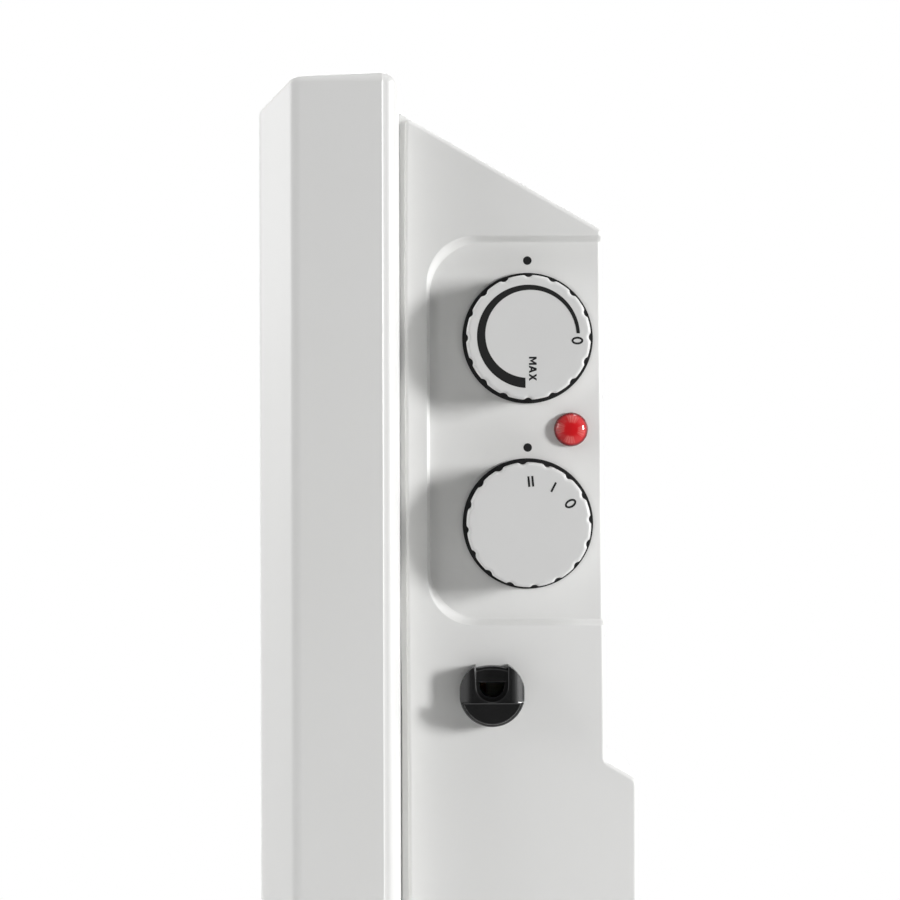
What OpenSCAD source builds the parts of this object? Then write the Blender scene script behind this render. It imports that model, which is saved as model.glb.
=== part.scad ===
/* [Front panel] */
// Width of the front panel
panel_w = 640; // [460:10:900]
// Height of the front panel
panel_h = 413; // [400:1:480]
// Depth of the front panel, from its face to the back of its rear flange
panel_depth = 41; // [38:0.5:44]
// Width and depth of the chamfer round the face
chamfer = 11; // [8:0.5:14]
// Radius where the chamfer meets the side
chamfer_round = 6; // [2:0.5:8]
// Radius where the face meets the chamfer
face_round = 3; // [1:0.5:5]
// Radius of the rolled rear edge
rolled_edge = 4.8; // [2:0.1:6]
// Corner radius of the panel's sides, seen from the front
panel_corner = 10.5; // [8:0.5:24]
// Least corner radius of the panel's flat face, seen from the front
face_corner = 1; // [0.5:0.5:6]
// Draft of the panel's sides, in degrees
panel_draft = 2.5; // [0:0.5:4]
// Thickness of the panel's steel
panel_sheet = 0.8; // [0.6:0.1:1.2]
// Width of the flange that is folded inwards at the back
return_flange = 20; // [18.5:0.5:24]

/* [Outlet grille] */
// Width of the outlet window in the front panel
outlet_w = 560; // [360:10:590]
// Height of the outlet window
outlet_h = 60; // [40:1:70]
// Distance of the outlet window below the panel's top
outlet_drop = 30; // [26:1:40]
// Distance from one louvre blade to the next
blade_pitch = 5; // [4:0.1:6]
// Width of a louvre blade, from front to back
blade_w = 9; // [6:0.5:12]
// Thickness of a louvre blade
blade_t = 1.2; // [0.8:0.1:1.6]
// Tilt of the blades from level, in degrees
blade_tilt = 35; // [20:1:45]
// Distance between the upright ribs that hold the blades
blade_rib_pitch = 80; // [60:1:100]
// Thickness of an upright rib
blade_rib_t = 1.6; // [1:0.1:2.4]
// Width of the grille's border behind the panel
grille_border = 6; // [4:0.5:8]
// Thickness of the grille's border
grille_t = 2; // [1.5:0.1:3]

/* [Casing] */
// Distance that the front panel stands out past the casing's sides
side_overhang = 12; // [8:0.5:14]
// Distance from the panel's top down to the casing's top
top_drop = 12.4; // [10:0.1:14]
// Distance from the casing's underside down to the panel's lower edge
floor_drop = 12; // [10:0.5:14]
// Depth of the dark groove between the panel and the casing
groove_gap = 0.6; // [0.5:0.1:1.5]
// Width of the collar between the groove and the casing's bend
collar_w = 1.8; // [1:0.1:3]
// Step from the casing's side in to the collar
collar_step = 0.8; // [0.3:0.1:1.2]
// Step from the casing's side in to the foot of the groove
groove_step = 3; // [2:0.1:4]
// Depth from the panel's face to the casing's back, at its upper corner
casing_depth = 100.2; // [92:0.1:112]
// Extra depth of the casing's back by the height of the stand-off
back_draft = 1; // [0:0.1:3]
// Slope of the casing's top, in degrees
top_slope = 30; // [20:1:34]
// Radius of the casing's side edges
edge_round = 1.3; // [0.8:0.1:1.4]
// Thickness of the back's steel
back_sheet = 0.8; // [0.6:0.1:1]
// Gap between the back and the end caps
seam = 0.3; // [0.1:0.1:0.5]
// Number of inlet slots in the back and in the base
inlet_count = 46; // [20:1:48]
// Distance from one inlet slot to the next
inlet_pitch = 10; // [8:0.5:10]
// Width of an inlet slot
inlet_w = 3.6; // [2:0.1:3.8]
// Length of an inlet slot in the back
inlet_len = 34; // [20:1:50]
// Height of the back's inlet slots above the casing's underside
inlet_rise = 24; // [20:1:30]
// Length of an inlet slot in the base
base_inlet_len = 36; // [20:1:38]

/* [End caps] */
// Length of an end cap along the heater
cap_len = 53; // [48:1:60]
// Wall of an end cap
cap_wall = 2.5; // [2:0.1:3]
// Distance that the lower back stands out to keep the heater off a wall
standoff = 9.2; // [6:0.1:12]
// Distance from the panel's top to the start of the stand-off
standoff_drop = 201; // [180:1:230]
// Slope of the stand-off's shoulder, in degrees
standoff_slope = 30; // [20:1:45]
// Radius of the stand-off's shoulder and foot
standoff_round = 3; // [2:0.5:6]
// Length of the lip that carries the back
lip_len = 8; // [6:0.5:10]
// Thickness of the lip
lip_t = 2; // [1.5:0.1:3]
// Clearance between the lip and the back
lip_gap = 0.1; // [0.05:0.05:0.3]

/* [Control recess] */
// Distance from the knobs' axes forward to the recess's front edge
recess_ahead = 28.7; // [24:0.1:31]
// Distance from the thermostat's axis up to the recess's top edge
recess_above = 29.4; // [25:0.1:31]
// Distance from the power switch's axis down to the recess's lower edge
recess_below = 29; // [25:0.1:33]
// Corner radius of the recess
recess_corner = 14.6; // [8:0.1:20]
// Depth of the recess
recess_depth = 3; // [1.5:0.1:4]
// Width of the soft step round the recess
recess_step = 3; // [1.5:0.1:4]

/* [Knobs] */
// Distance from the casing's back, at its upper corner, to the knobs' axes
knob_back = 21.7; // [20:0.1:25]
// Distance from the panel's top to the thermostat's axis
thermostat_drop = 76.9; // [74:0.1:80]
// Distance from the thermostat's axis to the power switch's axis
knob_pitch = 54.4; // [50:0.1:60]
// Diameter of a knob
knob_d = 36.1; // [32:0.1:37]
// Height of a knob above its collar
knob_h = 13.5; // [10:0.1:14]
// Number of finger notches round a knob
notch_count = 16; // [8:1:24]
// Radius of a finger notch
notch_r = 1.5; // [0.9:0.1:2]
// Depth of a finger notch
notch_depth = 0.6; // [0.4:0.05:1]
// Radius of the edge between a knob's face and its side
knob_round = 1; // [0.4:0.1:2]
// Wall of a knob
knob_wall = 2; // [1.5:0.1:3]
// Diameter of the black collar under a knob
collar_d = 38.3; // [37.5:0.1:40]
// Height of the collar above the recess
collar_t = 0.8; // [0.5:0.1:1.2]
// Running clearance under a knob
knob_gap = 0.3; // [0.2:0.1:0.6]
// Diameter of a control shaft
shaft_d = 6; // [5:0.1:7]
// Depth of the flat on a control shaft
shaft_flat = 1.5; // [1:0.1:2]
// Radial clearance of a shaft in its bush and of a knob on its shaft
running_fit = 0.05; // [0.02:0.01:0.08]
// Diameter of the threaded bush round a shaft
bush_d = 9; // [8.5:0.1:11]

/* [Indicator lamp] */
// Distance from the casing's back, at its upper corner, to the lamp
lamp_back = 9; // [8.5:0.1:10]
// Distance from the thermostat's axis down to the lamp
lamp_below = 26.8; // [24:0.1:29]
// Diameter of the lamp's lens
lamp_d = 10; // [8:0.1:10.5]
// Height of the lens above the recess
lamp_h = 3.2; // [2:0.1:4.5]
// Diameter of the lens's stem
lamp_stem_d = 7.6; // [6.5:0.1:7.8]

/* [Strain relief] */
// Distance from the panel's face to the strain relief
relief_depth = 67.8; // [62:0.1:80]
// Distance from the panel's top to the strain relief
relief_drop = 180.8; // [176:0.1:190]
// Diameter of the strain relief's head
relief_d = 19.2; // [18:0.1:22]
// Width of the head across its two flats
relief_flats = 18.9; // [17.5:0.1:19.5]
// Height of the head above the casing
relief_h = 6.5; // [5.8:0.1:9]
// Width of the channel that the cord lies in
channel_w = 10; // [8.5:0.1:11]
// Floor of the channel above the casing
channel_floor = 1.6; // [1:0.1:1.7]
// Offset of the cord bore above the head's centre
bore_rise = 2.4; // [1.5:0.1:2.4]
// Diameter of the cord bore
cord_bore_d = 7.4; // [6.5:0.1:7.6]
// Diameter of the neck in the casing's hole
neck_d = 14; // [13:0.1:15]
// Length of the neck behind the casing's outer face
neck_len = 11; // [8:0.5:14]
// Thickness of the clamp plate on the head
clamp_t = 1.5; // [1:0.1:2]
// Distance of the clamp plate's edge below the head's centre
clamp_edge = 2.7; // [2.7:0.1:4]

/* [Heating element] */
// Height of the elements' axes above the casing's underside
element_rise = 62; // [50:1:80]
// Distance between the two elements, which stand midway between the shields
element_gap = 34; // [31:0.5:36]
// Reach of an element's fins from its axis
fin_reach = 20; // [14:0.5:21]
// Thickness of a fin
fin_t = 1.6; // [1:0.1:2.4]
// Spread of the fins from upright, in degrees
fin_spread = 42; // [30:1:50]
// Diameter of the boss round a heater rod
boss_d = 13; // [11:0.5:15]
// Diameter of a heater rod
rod_d = 8; // [6:0.1:9]
// Distance from the brackets to the fins
fin_clear = 22; // [10:1:40]
// Distance from one slit in the fins to the next
slit_pitch = 20; // [15:1:40]
// Width of a slit in the fins
slit_w = 1.5; // [1:0.1:3]
// Diameter of an insulator's neck in its bracket
insulator_d = 14; // [12:0.5:16]
// Diameter of an insulator's flange
insulator_flange_d = 18; // [17:0.5:22]

/* [Brackets and shields] */
// Thickness of the bracket steel
bracket_t = 1; // [0.8:0.1:1.5]
// Height of the brackets above the casing's underside
bracket_h = 250; // [240:1:260]
// Width of the bracket flanges
bracket_flange = 12; // [10:0.5:14]
// Thickness of the heat shields
shield_t = 0.6; // [0.4:0.1:1]
// Distance from the panel's face to the front shield
front_shield_depth = 9; // [6:0.5:11]
// Distance from the casing's back, at its upper corner, to the rear shield
rear_shield_back = 11.2; // [9:0.1:12]
// Clearance of the parts that are set side by side
fit_gap = 0.3; // [0.2:0.05:0.3]
// Thickness of the base grille
base_t = 1; // [0.8:0.1:1.2]

/* [Feet] */
// Height of the front panel's lower edge above the floor
foot_lift = 38; // [34:1:50]
// Length of a foot from front to back
foot_len = 220; // [190:2:260]
// Width of a foot
foot_w = 36; // [30:1:40]
// Height of a foot's tips
foot_tip_h = 14; // [13:0.5:18]
// Radius of a foot's side edges
foot_round = 3; // [1:0.5:3.5]
// Height of the arch under a foot
foot_arch = 9; // [5:0.5:12]
// Diameter of a rubber pad
pad_d = 20; // [14:0.5:24]
// Thickness of a rubber pad
pad_t = 3; // [2:0.5:4]

/* [Wall fixing] */
// Distance between the left and right hanging slots
hang_x = 300; // [200:10:360]
// Distance between the upper and lower hanging slots
hang_z = 160; // [140:5:180]
// Distance from the panel's top to the upper hanging slots
hang_drop = 80; // [70:1:90]
// Width of a hanging slot
hang_w = 6; // [5:0.5:8]
// Length of a hanging slot, end to end
hang_len = 20; // [14:1:26]

/* [Fasteners] */
// Diameter of a casing screw
screw_d = 3; // [2.5:0.1:3.5]
// Diameter of a casing screw's head
screw_head_d = 6; // [5.5:0.1:7]
// Height of a screw's head
screw_head_h = 1.8; // [1.2:0.1:2.2]
// Radial clearance of a screw in its hole
screw_fit = 0.05; // [0.03:0.01:0.1]

/* [Hidden] */
$fn = 48;

paint = [0.93, 0.93, 0.92];
plastic = [0.9, 0.9, 0.89];
black = [0.09, 0.09, 0.09];
zinc = [0.72, 0.73, 0.74];

// Overshoot of a cut past the face that it opens
cut = 1;
// Segments of each rounded corner
arc_steps = 4;

body_front = panel_depth + groove_gap + collar_w;
overall_depth = casing_depth + back_draft + standoff;
panel_top = foot_lift + panel_h;
casing_side = panel_w / 2 - side_overhang;
casing_floor = foot_lift + floor_drop;
casing_top = panel_top - top_drop;
cap_start = casing_side - cap_len;
slope_drop = top_drop + (casing_depth - body_front) * tan(top_slope);
knob_depth = casing_depth - knob_back;
switch_drop = thermostat_drop + knob_pitch;
lamp_depth = casing_depth - lamp_back;
lamp_drop = thermostat_drop + lamp_below;
recess_front = knob_depth - recess_ahead;
recess_drop = thermostat_drop - recess_above;
recess_h = switch_drop + recess_below - recess_drop;
recess_floor = casing_side - recess_depth;
inner_wall = recess_floor - cap_wall;

function depth(d) = d - overall_depth / 2;
function drop(h) = panel_top - h;
// Depth of the casing's back at height z
function back_depth(z) =
    casing_depth + back_draft * (drop(slope_drop) - z) / (standoff_drop - slope_drop);

function unit(v) = v / norm(v);
function left_of(v) = unit([-v.y, v.x]);
function flat(p) = [p.x, p.y];
function turn_of(a, b) = cross(a, b) > 0 ? 1 : -1;

// Arc of radius r that rounds the corner b between a and c
function corner_arc(a, b, c, r) =
    r < 0.05 ? [b] :
    let (
        u = unit(a - b),
        v = unit(c - b),
        half = acos(u * v) / 2,
        centre = b + unit(u + v) * r / sin(half),
        p = b + u * r / tan(half) - centre,
        sweep = turn_of(b - a, c - b) * (180 - 2 * half),
        start = atan2(p.y, p.x)
    )
    [for (i = [0:arc_steps])
        let (a = start + sweep * i / arc_steps)
        centre + r * [cos(a), sin(a)]];

// Closed outline through corners given as x, y and radius
function outline(corners) =
    let (n = len(corners))
    [for (i = [0:n - 1]) each corner_arc(
        flat(corners[(i + n - 1) % n]), flat(corners[i]), flat(corners[(i + 1) % n]), corners[i].z)];

// The corners moved inwards by d, with the radii that keep the wall even
function inset(corners, d) =
    let (n = len(corners))
    [for (i = [0:n - 1])
        let (
            a = flat(corners[(i + n - 1) % n]),
            b = flat(corners[i]),
            c = flat(corners[(i + 1) % n]),
            p = left_of(b - a),
            q = left_of(c - b),
            m = b + d * (p + q) / (1 + p * q)
        )
        [m.x, m.y, max(0, corners[i].z - turn_of(b - a, c - b) * d)]];

// Outline of a sheet of thickness t on the left of an open path
function ribbon(path, t) =
    let (n = len(path))
    concat(path, [for (i = [n - 1:-1:0])
        let (
            p = left_of(i > 0 ? path[i] - path[i - 1] : path[1] - path[0]),
            q = left_of(i < n - 1 ? path[i + 1] - path[i] : path[i] - path[i - 1])
        )
        path[i] + t * (p + q) / (1 + p * q)]);

// Solid through a stack of closed sections that rises along z
module loft(sections) {
    n = len(sections[0]);
    last = (len(sections) - 1) * n;
    polyhedron(
        points = [for (s = sections) each s],
        faces = [
            [for (j = [0:n - 1]) j],
            for (i = [0:n:last - n], j = [0:n - 1]) [i + j, i + j + n, i + (j + 1) % n + n],
            for (i = [0:n:last - n], j = [0:n - 1]) [i + j, i + (j + 1) % n + n, i + (j + 1) % n],
            [for (j = [n - 1:-1:0]) last + j]
        ]);
}

function section(corners, z) = [for (p = outline(corners)) [p.x, p.y, z]];

// Puts a profile drawn in y and z between two places along x
module across(x0, x1) {
    translate([x0, 0, 0]) rotate([90, 0, 90]) linear_extrude(x1 - x0) children();
}

module block(lo, hi) {
    translate(lo) cube(hi - lo);
}

module bar_x(x0, x1, y, z, r) {
    translate([x0, y, z]) rotate([0, 90, 0]) cylinder(h = x1 - x0, r = r);
}

module bar_y(x, y0, y1, z, r) {
    translate([x, y0, z]) rotate([-90, 0, 0]) cylinder(h = y1 - y0, r = r);
}

module bar_z(x, y, z0, z1, r) {
    translate([x, y, z0]) cylinder(h = z1 - z0, r = r);
}

// Round-ended slot along x, cut through the depths y0 to y1
module slot_x(x, z, y0, y1, width, length) {
    reach = (length - width) / 2;
    for (s = [-1, 1])
        bar_y(x + s * reach, y0, y1, z, width / 2);
    block([x - reach, y0, z - width / 2], [x + reach, y1, z + width / 2]);
}

// The pressed steel tray of the front
tray_corners = [
    [panel_w / 2, foot_lift, panel_corner],
    [panel_w / 2, panel_top, panel_corner],
    [-panel_w / 2, panel_top, panel_corner],
    [-panel_w / 2, foot_lift, panel_corner]
];
side_inset = (panel_depth - rolled_edge - chamfer) * tan(panel_draft);

// Side profile of the tray as depth behind the face and inset from the widest outline
face_edge = [0, side_inset + chamfer];
side_edge = [chamfer, side_inset];
tray_profile = [
    each corner_arc([0, side_inset + 2 * chamfer], face_edge, side_edge, face_round),
    each corner_arc(face_edge, side_edge, [panel_depth - rolled_edge, 0], chamfer_round),
    for (a = [0:90 / arc_steps:90])
        [panel_depth - rolled_edge + rolled_edge * sin(a), rolled_edge * (1 - cos(a))]
];

// The tray's corners moved inwards by d, which meet in a mitre at the flat face
function tray_inset(d) =
    [for (c = inset(tray_corners, d)) [c.x, c.y, max(c.z, face_corner)]];

module tray(shrink) {
    n = len(tray_profile);
    rotate([90, 0, 0])
        loft([for (i = [n - 1:-1:0])
            let (
                d = tray_profile[i].x,
                wall = min(max(d, shrink), panel_depth - shrink)
            )
            section(tray_inset(tray_profile[i].y + shrink), -depth(wall))]);
}

module front_panel() {
    hole = return_flange;
    color(paint)
        difference() {
            tray(0);
            tray(panel_sheet);
            block(
                [hole - panel_w / 2, depth(panel_depth - panel_sheet - cut), foot_lift + hole],
                [panel_w / 2 - hole, depth(panel_depth + cut), panel_top - hole]);
            block(
                [-outlet_w / 2, depth(-cut), drop(outlet_drop + outlet_h)],
                [outlet_w / 2, depth(panel_sheet + cut), drop(outlet_drop)]);
        }
}

module outlet_grille() {
    mid = drop(outlet_drop + outlet_h / 2);
    back = panel_sheet + blade_w * cos(blade_tilt);
    inner_w = outlet_w / 2 - fit_gap;
    inner_h = outlet_h / 2 - fit_gap;
    blades = floor((outlet_h - 2 * grille_t) / blade_pitch);
    ribs = floor(outlet_w / 2 / blade_rib_pitch);
    color(plastic) {
        difference() {
            union() {
                block(
                    [-inner_w, depth(0), mid - inner_h],
                    [inner_w, depth(back), mid + inner_h]);
                block(
                    [-inner_w - grille_border, depth(panel_sheet), mid - inner_h - grille_border],
                    [inner_w + grille_border, depth(panel_sheet + grille_t), mid + inner_h + grille_border]);
            }
            block(
                [-inner_w + grille_t, depth(-cut), mid - inner_h + grille_t],
                [inner_w - grille_t, depth(back + cut), mid + inner_h - grille_t]);
        }
        for (i = [-ribs:ribs])
            block(
                [i * blade_rib_pitch - blade_rib_t / 2, depth(panel_sheet), mid - inner_h],
                [i * blade_rib_pitch + blade_rib_t / 2, depth(back), mid + inner_h]);
        for (i = [0:blades - 1])
            translate([0, depth(0), mid + (i - (blades - 1) / 2) * blade_pitch])
                across(-inner_w, inner_w)
                    polygon(louvre_profile());
    }
}

// Section of one blade, which rises towards the front
function louvre_profile() =
    let (
        run = blade_w * cos(blade_tilt),
        rise = blade_w * sin(blade_tilt) / 2,
        half = blade_t / cos(blade_tilt) / 2
    )
    [[0, rise - half], [run, -rise - half], [run, half - rise], [0, rise + half]];

// Bend radii of the casing's front corners and of its upper rear corner
front_bend = 2;
slope_bend = 1.8;

// Side outline of the steel back, without the stand-off
casing_corners = [
    [depth(body_front), casing_floor, front_bend],
    [depth(back_depth(casing_floor)), casing_floor, standoff_round],
    [depth(casing_depth), drop(slope_drop), slope_bend],
    [depth(body_front), casing_top, front_bend]
];

module rear_panel() {
    end = cap_start - seam;
    inner = depth(back_depth(casing_floor) - back_sheet);
    color(paint)
        difference() {
            union() {
                across(-end, end)
                    polygon(outline(casing_corners));
                for (z = swage_heights)
                    swage(z, swage_h, 0);
            }
            across(-end - cut, end + cut)
                polygon(outline(inset(casing_corners, back_sheet)));
            for (z = swage_heights)
                swage(z, swage_h - back_sheet, back_sheet);
            block(
                [-end - cut, depth(body_front - cut), casing_floor - cut],
                [end + cut, depth(body_front + back_sheet + cut), casing_top - front_lip]);
            block(
                [-end - cut, depth(body_front - cut), casing_floor - cut],
                [end + cut, depth(base_back), casing_floor + back_sheet + cut]);
            for (s = [-1, 1], h = [0, hang_z])
                slot_x(
                    s * hang_x / 2, drop(hang_drop + h),
                    inner - 6 * cut, inner + 6 * cut, hang_w, hang_len);
            for (i = [0:inlet_count - 1])
                inlet_slot(i);
            for (s = [-1, 1], z = rear_screw_heights)
                bar_y(s * rear_screw_x, inner - 6 * cut, inner + 6 * cut, z, screw_d / 2 + screw_fit);
        }
    // Folded lip and groove that meet the front panel along the top
    color(paint)
        across(-end, end)
            polygon(ribbon([
                each collar_tip,
                [depth(panel_depth + groove_gap), casing_top - groove_step],
                [depth(panel_depth), casing_top - groove_step]
            ], back_sheet));
}

// The collar's upper edge, which rises at 45 degrees out of the sloped top
tip_sink = 0.2;
collar_tip = [
    [depth(body_front + cap_wall), casing_top - cap_wall * tan(top_slope) - tip_sink],
    [depth(body_front), casing_top - tip_sink],
    [depth(panel_depth + groove_gap), casing_top + collar_w]
];

front_lip = 12;
base_behind = 14.2;
base_back = casing_depth - base_behind;
base_lap = 8;
swage_h = 1.6;
swage_w = 14;
swage_lap = 40;
// Distance that the cuts in the back reach in from it
back_reach = 8;
swage_heights = [drop(hang_drop + hang_z / 4), drop(hang_drop + 3 * hang_z / 4)];

// Long round-ended bead pressed into the back to stiffen it
module swage(z, proud, shrink) {
    length = hang_x + 2 * swage_lap - 2 * shrink;
    slot_x(
        0, z, depth(casing_depth - back_reach), depth(back_depth(z)) + proud,
        swage_w - 2 * shrink, length);
}

module inlet_slot(i) {
    x = (i - (inlet_count - 1) / 2) * inlet_pitch;
    block(
        [x - inlet_w / 2, depth(casing_depth - back_reach), casing_floor + inlet_rise],
        [x + inlet_w / 2, depth(overall_depth), casing_floor + inlet_rise + inlet_len]);
}

rear_screw_x = cap_start - lip_len / 2;
rear_screw_rise = 14;
rear_screw_below = 20;
rear_screw_heights = [
    casing_floor + rear_screw_rise,
    drop(standoff_drop),
    drop(slope_drop + rear_screw_below)
];

module base_grille() {
    end = cap_start - lip_len - fit_gap;
    mid = (body_front + base_back) / 2;
    color(paint)
        difference() {
            block(
                [-end, depth(panel_depth), casing_floor + back_sheet],
                [end, depth(base_back + base_lap), casing_floor + back_sheet + base_t]);
            for (i = [0:inlet_count - 1])
                translate([(i - (inlet_count - 1) / 2) * inlet_pitch, depth(mid), casing_floor])
                    block(
                        [-inlet_w / 2, -base_inlet_len / 2, -cut],
                        [inlet_w / 2, base_inlet_len / 2, back_sheet + base_t + cut]);
            for (s = [-1, 1], y = bracket_screw_depths)
                bar_z(
                    s * bracket_screw_x, depth(y),
                    casing_floor, bracket_floor + cut, screw_d / 2 + screw_fit);
        }
}

// Side outline of an end cap, with the stand-off at the lower back
shoulder = back_depth(drop(standoff_drop));
shoulder_drop = standoff_drop + (overall_depth - shoulder) * tan(standoff_slope);
cap_corners = [
    [depth(body_front), casing_floor, front_bend],
    [depth(overall_depth), casing_floor, standoff_round],
    [depth(overall_depth), drop(shoulder_drop), standoff_round],
    [depth(shoulder), drop(standoff_drop), front_bend],
    [depth(casing_depth), drop(slope_drop), slope_bend],
    [depth(body_front), casing_top, front_bend]
];

// Front view outline of the recess, which runs out past the back
recess_corners = [
    [depth(recess_front), drop(recess_drop + recess_h), recess_corner],
    [depth(overall_depth) + 2 * recess_corner, drop(recess_drop + recess_h), recess_corner],
    [depth(overall_depth) + 2 * recess_corner, drop(recess_drop), recess_corner],
    [depth(recess_front), drop(recess_drop), recess_corner]
];

// One moulded end cap, as it is on the right, without its holes
module cap_moulding(controls) {
    edge = [for (a = [0:22.5:67.5]) [casing_side - edge_round * (1 - sin(a)), edge_round * (1 - cos(a))]];
    // The last section lies just past the flat side, so the side itself is one clean cut
    last = edge[len(edge) - 1];
    past = last + 1.6 * ([casing_side, edge_round] - last);
    groove_side = casing_side - groove_step;
    open_side = groove_side - cap_wall;
    difference() {
        union() {
            rotate([90, 0, 90])
                loft([
                    section(cap_corners, cap_start),
                    for (e = edge) section(inset(cap_corners, e.y), e.x),
                    section(inset(cap_corners, past.y), past.x)
                ]);
            across(cap_start, casing_side - collar_step)
                polygon([
                    [depth(panel_depth + groove_gap), casing_floor + collar_step],
                    [depth(body_front + cap_wall), casing_floor + collar_step],
                    each collar_tip
                ]);
            block(
                [cap_start, depth(panel_depth), casing_floor + groove_step],
                [groove_side, depth(body_front), casing_top - groove_step]);
            across(cap_start - lip_len, cap_start + cap_wall)
                polygon(outline(inset(casing_corners, back_sheet + lip_gap)));
        }
        block(
            [casing_side, depth(0), casing_floor - cut],
            [casing_side + cut, depth(overall_depth + cut), casing_top + cut]);
        // Hollow of the shell, shallower behind the recess
        difference() {
            across(cap_start + cap_wall, casing_side - cap_wall)
                polygon(outline(inset(cap_corners, cap_wall)));
            if (controls)
                across(inner_wall, casing_side)
                    polygon(outline(inset(recess_corners, -cap_wall)));
        }
        across(cap_start - lip_len - cut, cap_start + 2 * cap_wall)
            polygon(outline(inset(casing_corners, back_sheet + lip_gap + lip_t)));
        block(
            [cap_start - lip_len - cut, depth(panel_depth - cut), casing_floor + groove_step + cap_wall],
            [open_side, depth(body_front + 2 * cap_wall), casing_top - groove_step - cap_wall]);
        if (controls)
            recess_cut();
        for (z = rear_screw_heights)
            bar_y(
                rear_screw_x, depth(casing_depth - back_reach), depth(overall_depth),
                z, screw_d / 2 + screw_fit);
        for (y = foot_screw_depths)
            bar_z(foot_x, depth(y), casing_floor - cut, casing_floor + 6 * cap_wall, screw_d / 2 + screw_fit);
    }
    // Bosses that take the foot screws
    for (y = foot_screw_depths)
        difference() {
            bar_z(foot_x, depth(y), casing_floor + cap_wall / 2, casing_floor + 4 * cap_wall, foot_boss_r);
            bar_z(foot_x, depth(y), casing_floor - cut, casing_floor + 6 * cap_wall, screw_d / 2 + screw_fit);
        }
}

// The recess falls away in a soft S-shaped step under a low upright lip
recess_lip = 0.1;

module recess_cut() {
    steps = 6;
    rotate([90, 0, 90])
        loft([
            for (i = [0:steps])
                let (t = i / steps)
                section(
                    inset(recess_corners, recess_step * (1 - t)),
                    recess_floor + (recess_depth - recess_lip) * (1 - cos(180 * t)) / 2),
            section(recess_corners, casing_side + 2 * cut)
        ]);
}

module right_end_cap() {
    color(plastic) {
        difference() {
            cap_moulding(true);
            for (h = [thermostat_drop, switch_drop])
                bar_x(inner_wall - cut, casing_side, depth(knob_depth), drop(h), shaft_hole_r);
            bar_x(
                inner_wall - cut, casing_side,
                depth(lamp_depth), drop(lamp_drop), lamp_stem_d / 2 + fit_gap / 2);
            bar_x(
                casing_side - 2 * cap_wall, casing_side + cut,
                depth(relief_depth), drop(relief_drop), neck_d / 2 + fit_gap / 2);
        }
        for (p = control_posts)
            difference() {
                bar_x(plate_face, inner_wall + cap_wall / 2, depth(p.x), drop(p.y), post_r);
                bar_x(
                    plate_face - cut, inner_wall + cap_wall / 2 + cut,
                    depth(p.x), drop(p.y), screw_d / 2 + screw_fit);
            }
    }
}

module left_end_cap() {
    color(plastic)
        mirror([1, 0, 0])
            cap_moulding(false);
}

foot_boss_r = 4;
shaft_hole_r = bush_d / 2 + 1;

// Posts behind the recess that the control plate is screwed to
post_r = 3;
post_len = 5;
post_ahead = 23;
post_above = 16;
post_behind = 12;
post_below = 20;
mid_post_ahead = 6;
mid_post_below = 1.5;
plate_face = inner_wall - post_len;
control_posts = [
    [knob_depth - post_ahead, thermostat_drop - post_above],
    [knob_depth - post_ahead, switch_drop + post_above],
    [knob_depth - mid_post_ahead, thermostat_drop + knob_pitch / 2 + mid_post_below],
    [knob_depth + post_behind, switch_drop + post_below]
];

// Sheet bracket that carries one end of both elements, as it is on the right
bracket_x = cap_start - lip_len - fit_gap;
bracket_floor = casing_floor + back_sheet + base_t;
bracket_top = casing_floor + bracket_h;
bracket_screw_x = bracket_x - bracket_flange / 2;
bracket_inset = 4;
bracket_screw_depths = [body_front + bracket_inset, base_back - bracket_inset];
bracket_heel = foot_lift + return_flange + bracket_inset;

function bracket_back(z) = depth(back_depth(z) - back_sheet - fit_gap);

module bracket() {
    inner = bracket_x - bracket_t;
    flange = bracket_x - bracket_flange;
    heel_end = bracket_back(bracket_floor) - standoff_round;
    heel_top = bracket_floor + standoff_round;
    difference() {
        union() {
            across(inner, bracket_x)
                polygon([
                    [depth(panel_depth + fit_gap), bracket_floor],
                    [heel_end, bracket_floor],
                    [bracket_back(heel_top), heel_top],
                    [bracket_back(bracket_top), bracket_top],
                    [depth(front_shield_depth + bracket_inset), bracket_top],
                    [depth(front_shield_depth + bracket_inset), bracket_heel],
                    [depth(panel_depth + fit_gap), bracket_heel]
                ]);
            across(flange, bracket_x)
                polygon([
                    [bracket_back(heel_top) - bracket_t, heel_top],
                    [bracket_back(heel_top), heel_top],
                    [bracket_back(bracket_top), bracket_top],
                    [bracket_back(bracket_top) - bracket_t, bracket_top]
                ]);
            block(
                [flange, depth(panel_depth + fit_gap), bracket_floor],
                [bracket_x, heel_end, bracket_floor + bracket_t]);
        }
        for (d = element_depths)
            bar_x(inner - cut, bracket_x + cut, depth(d), element_z, insulator_d / 2 + screw_fit);
        for (y = bracket_screw_depths)
            bar_z(
                bracket_screw_x, depth(y),
                bracket_floor - cut, bracket_floor + bracket_t + cut, screw_d / 2 + screw_fit);
    }
}

module right_bracket() {
    color(zinc)
        bracket();
}

module left_bracket() {
    color(zinc)
        mirror([1, 0, 0])
            bracket();
}

element_z = casing_floor + element_rise;
element_mid = (front_shield_depth + casing_depth - rear_shield_back) / 2;
element_depths = [element_mid - element_gap / 2, element_mid + element_gap / 2];
rear_shield_depth = casing_depth - rear_shield_back;
shield_end = bracket_x - bracket_t - fit_gap;
shield_flange_end = bracket_x - bracket_flange - fit_gap;

// Folds, tabs and clearances of the two shields
shield_fold = 6;
shield_below_outlet = 14;
shield_tab = 10;
shield_tab_rise = 20;
shield_rise = 8;
shield_bend_below = 40;
shield_lean = 14;
shield_tab_low = 30;
shield_tab_high = 180;

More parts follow.
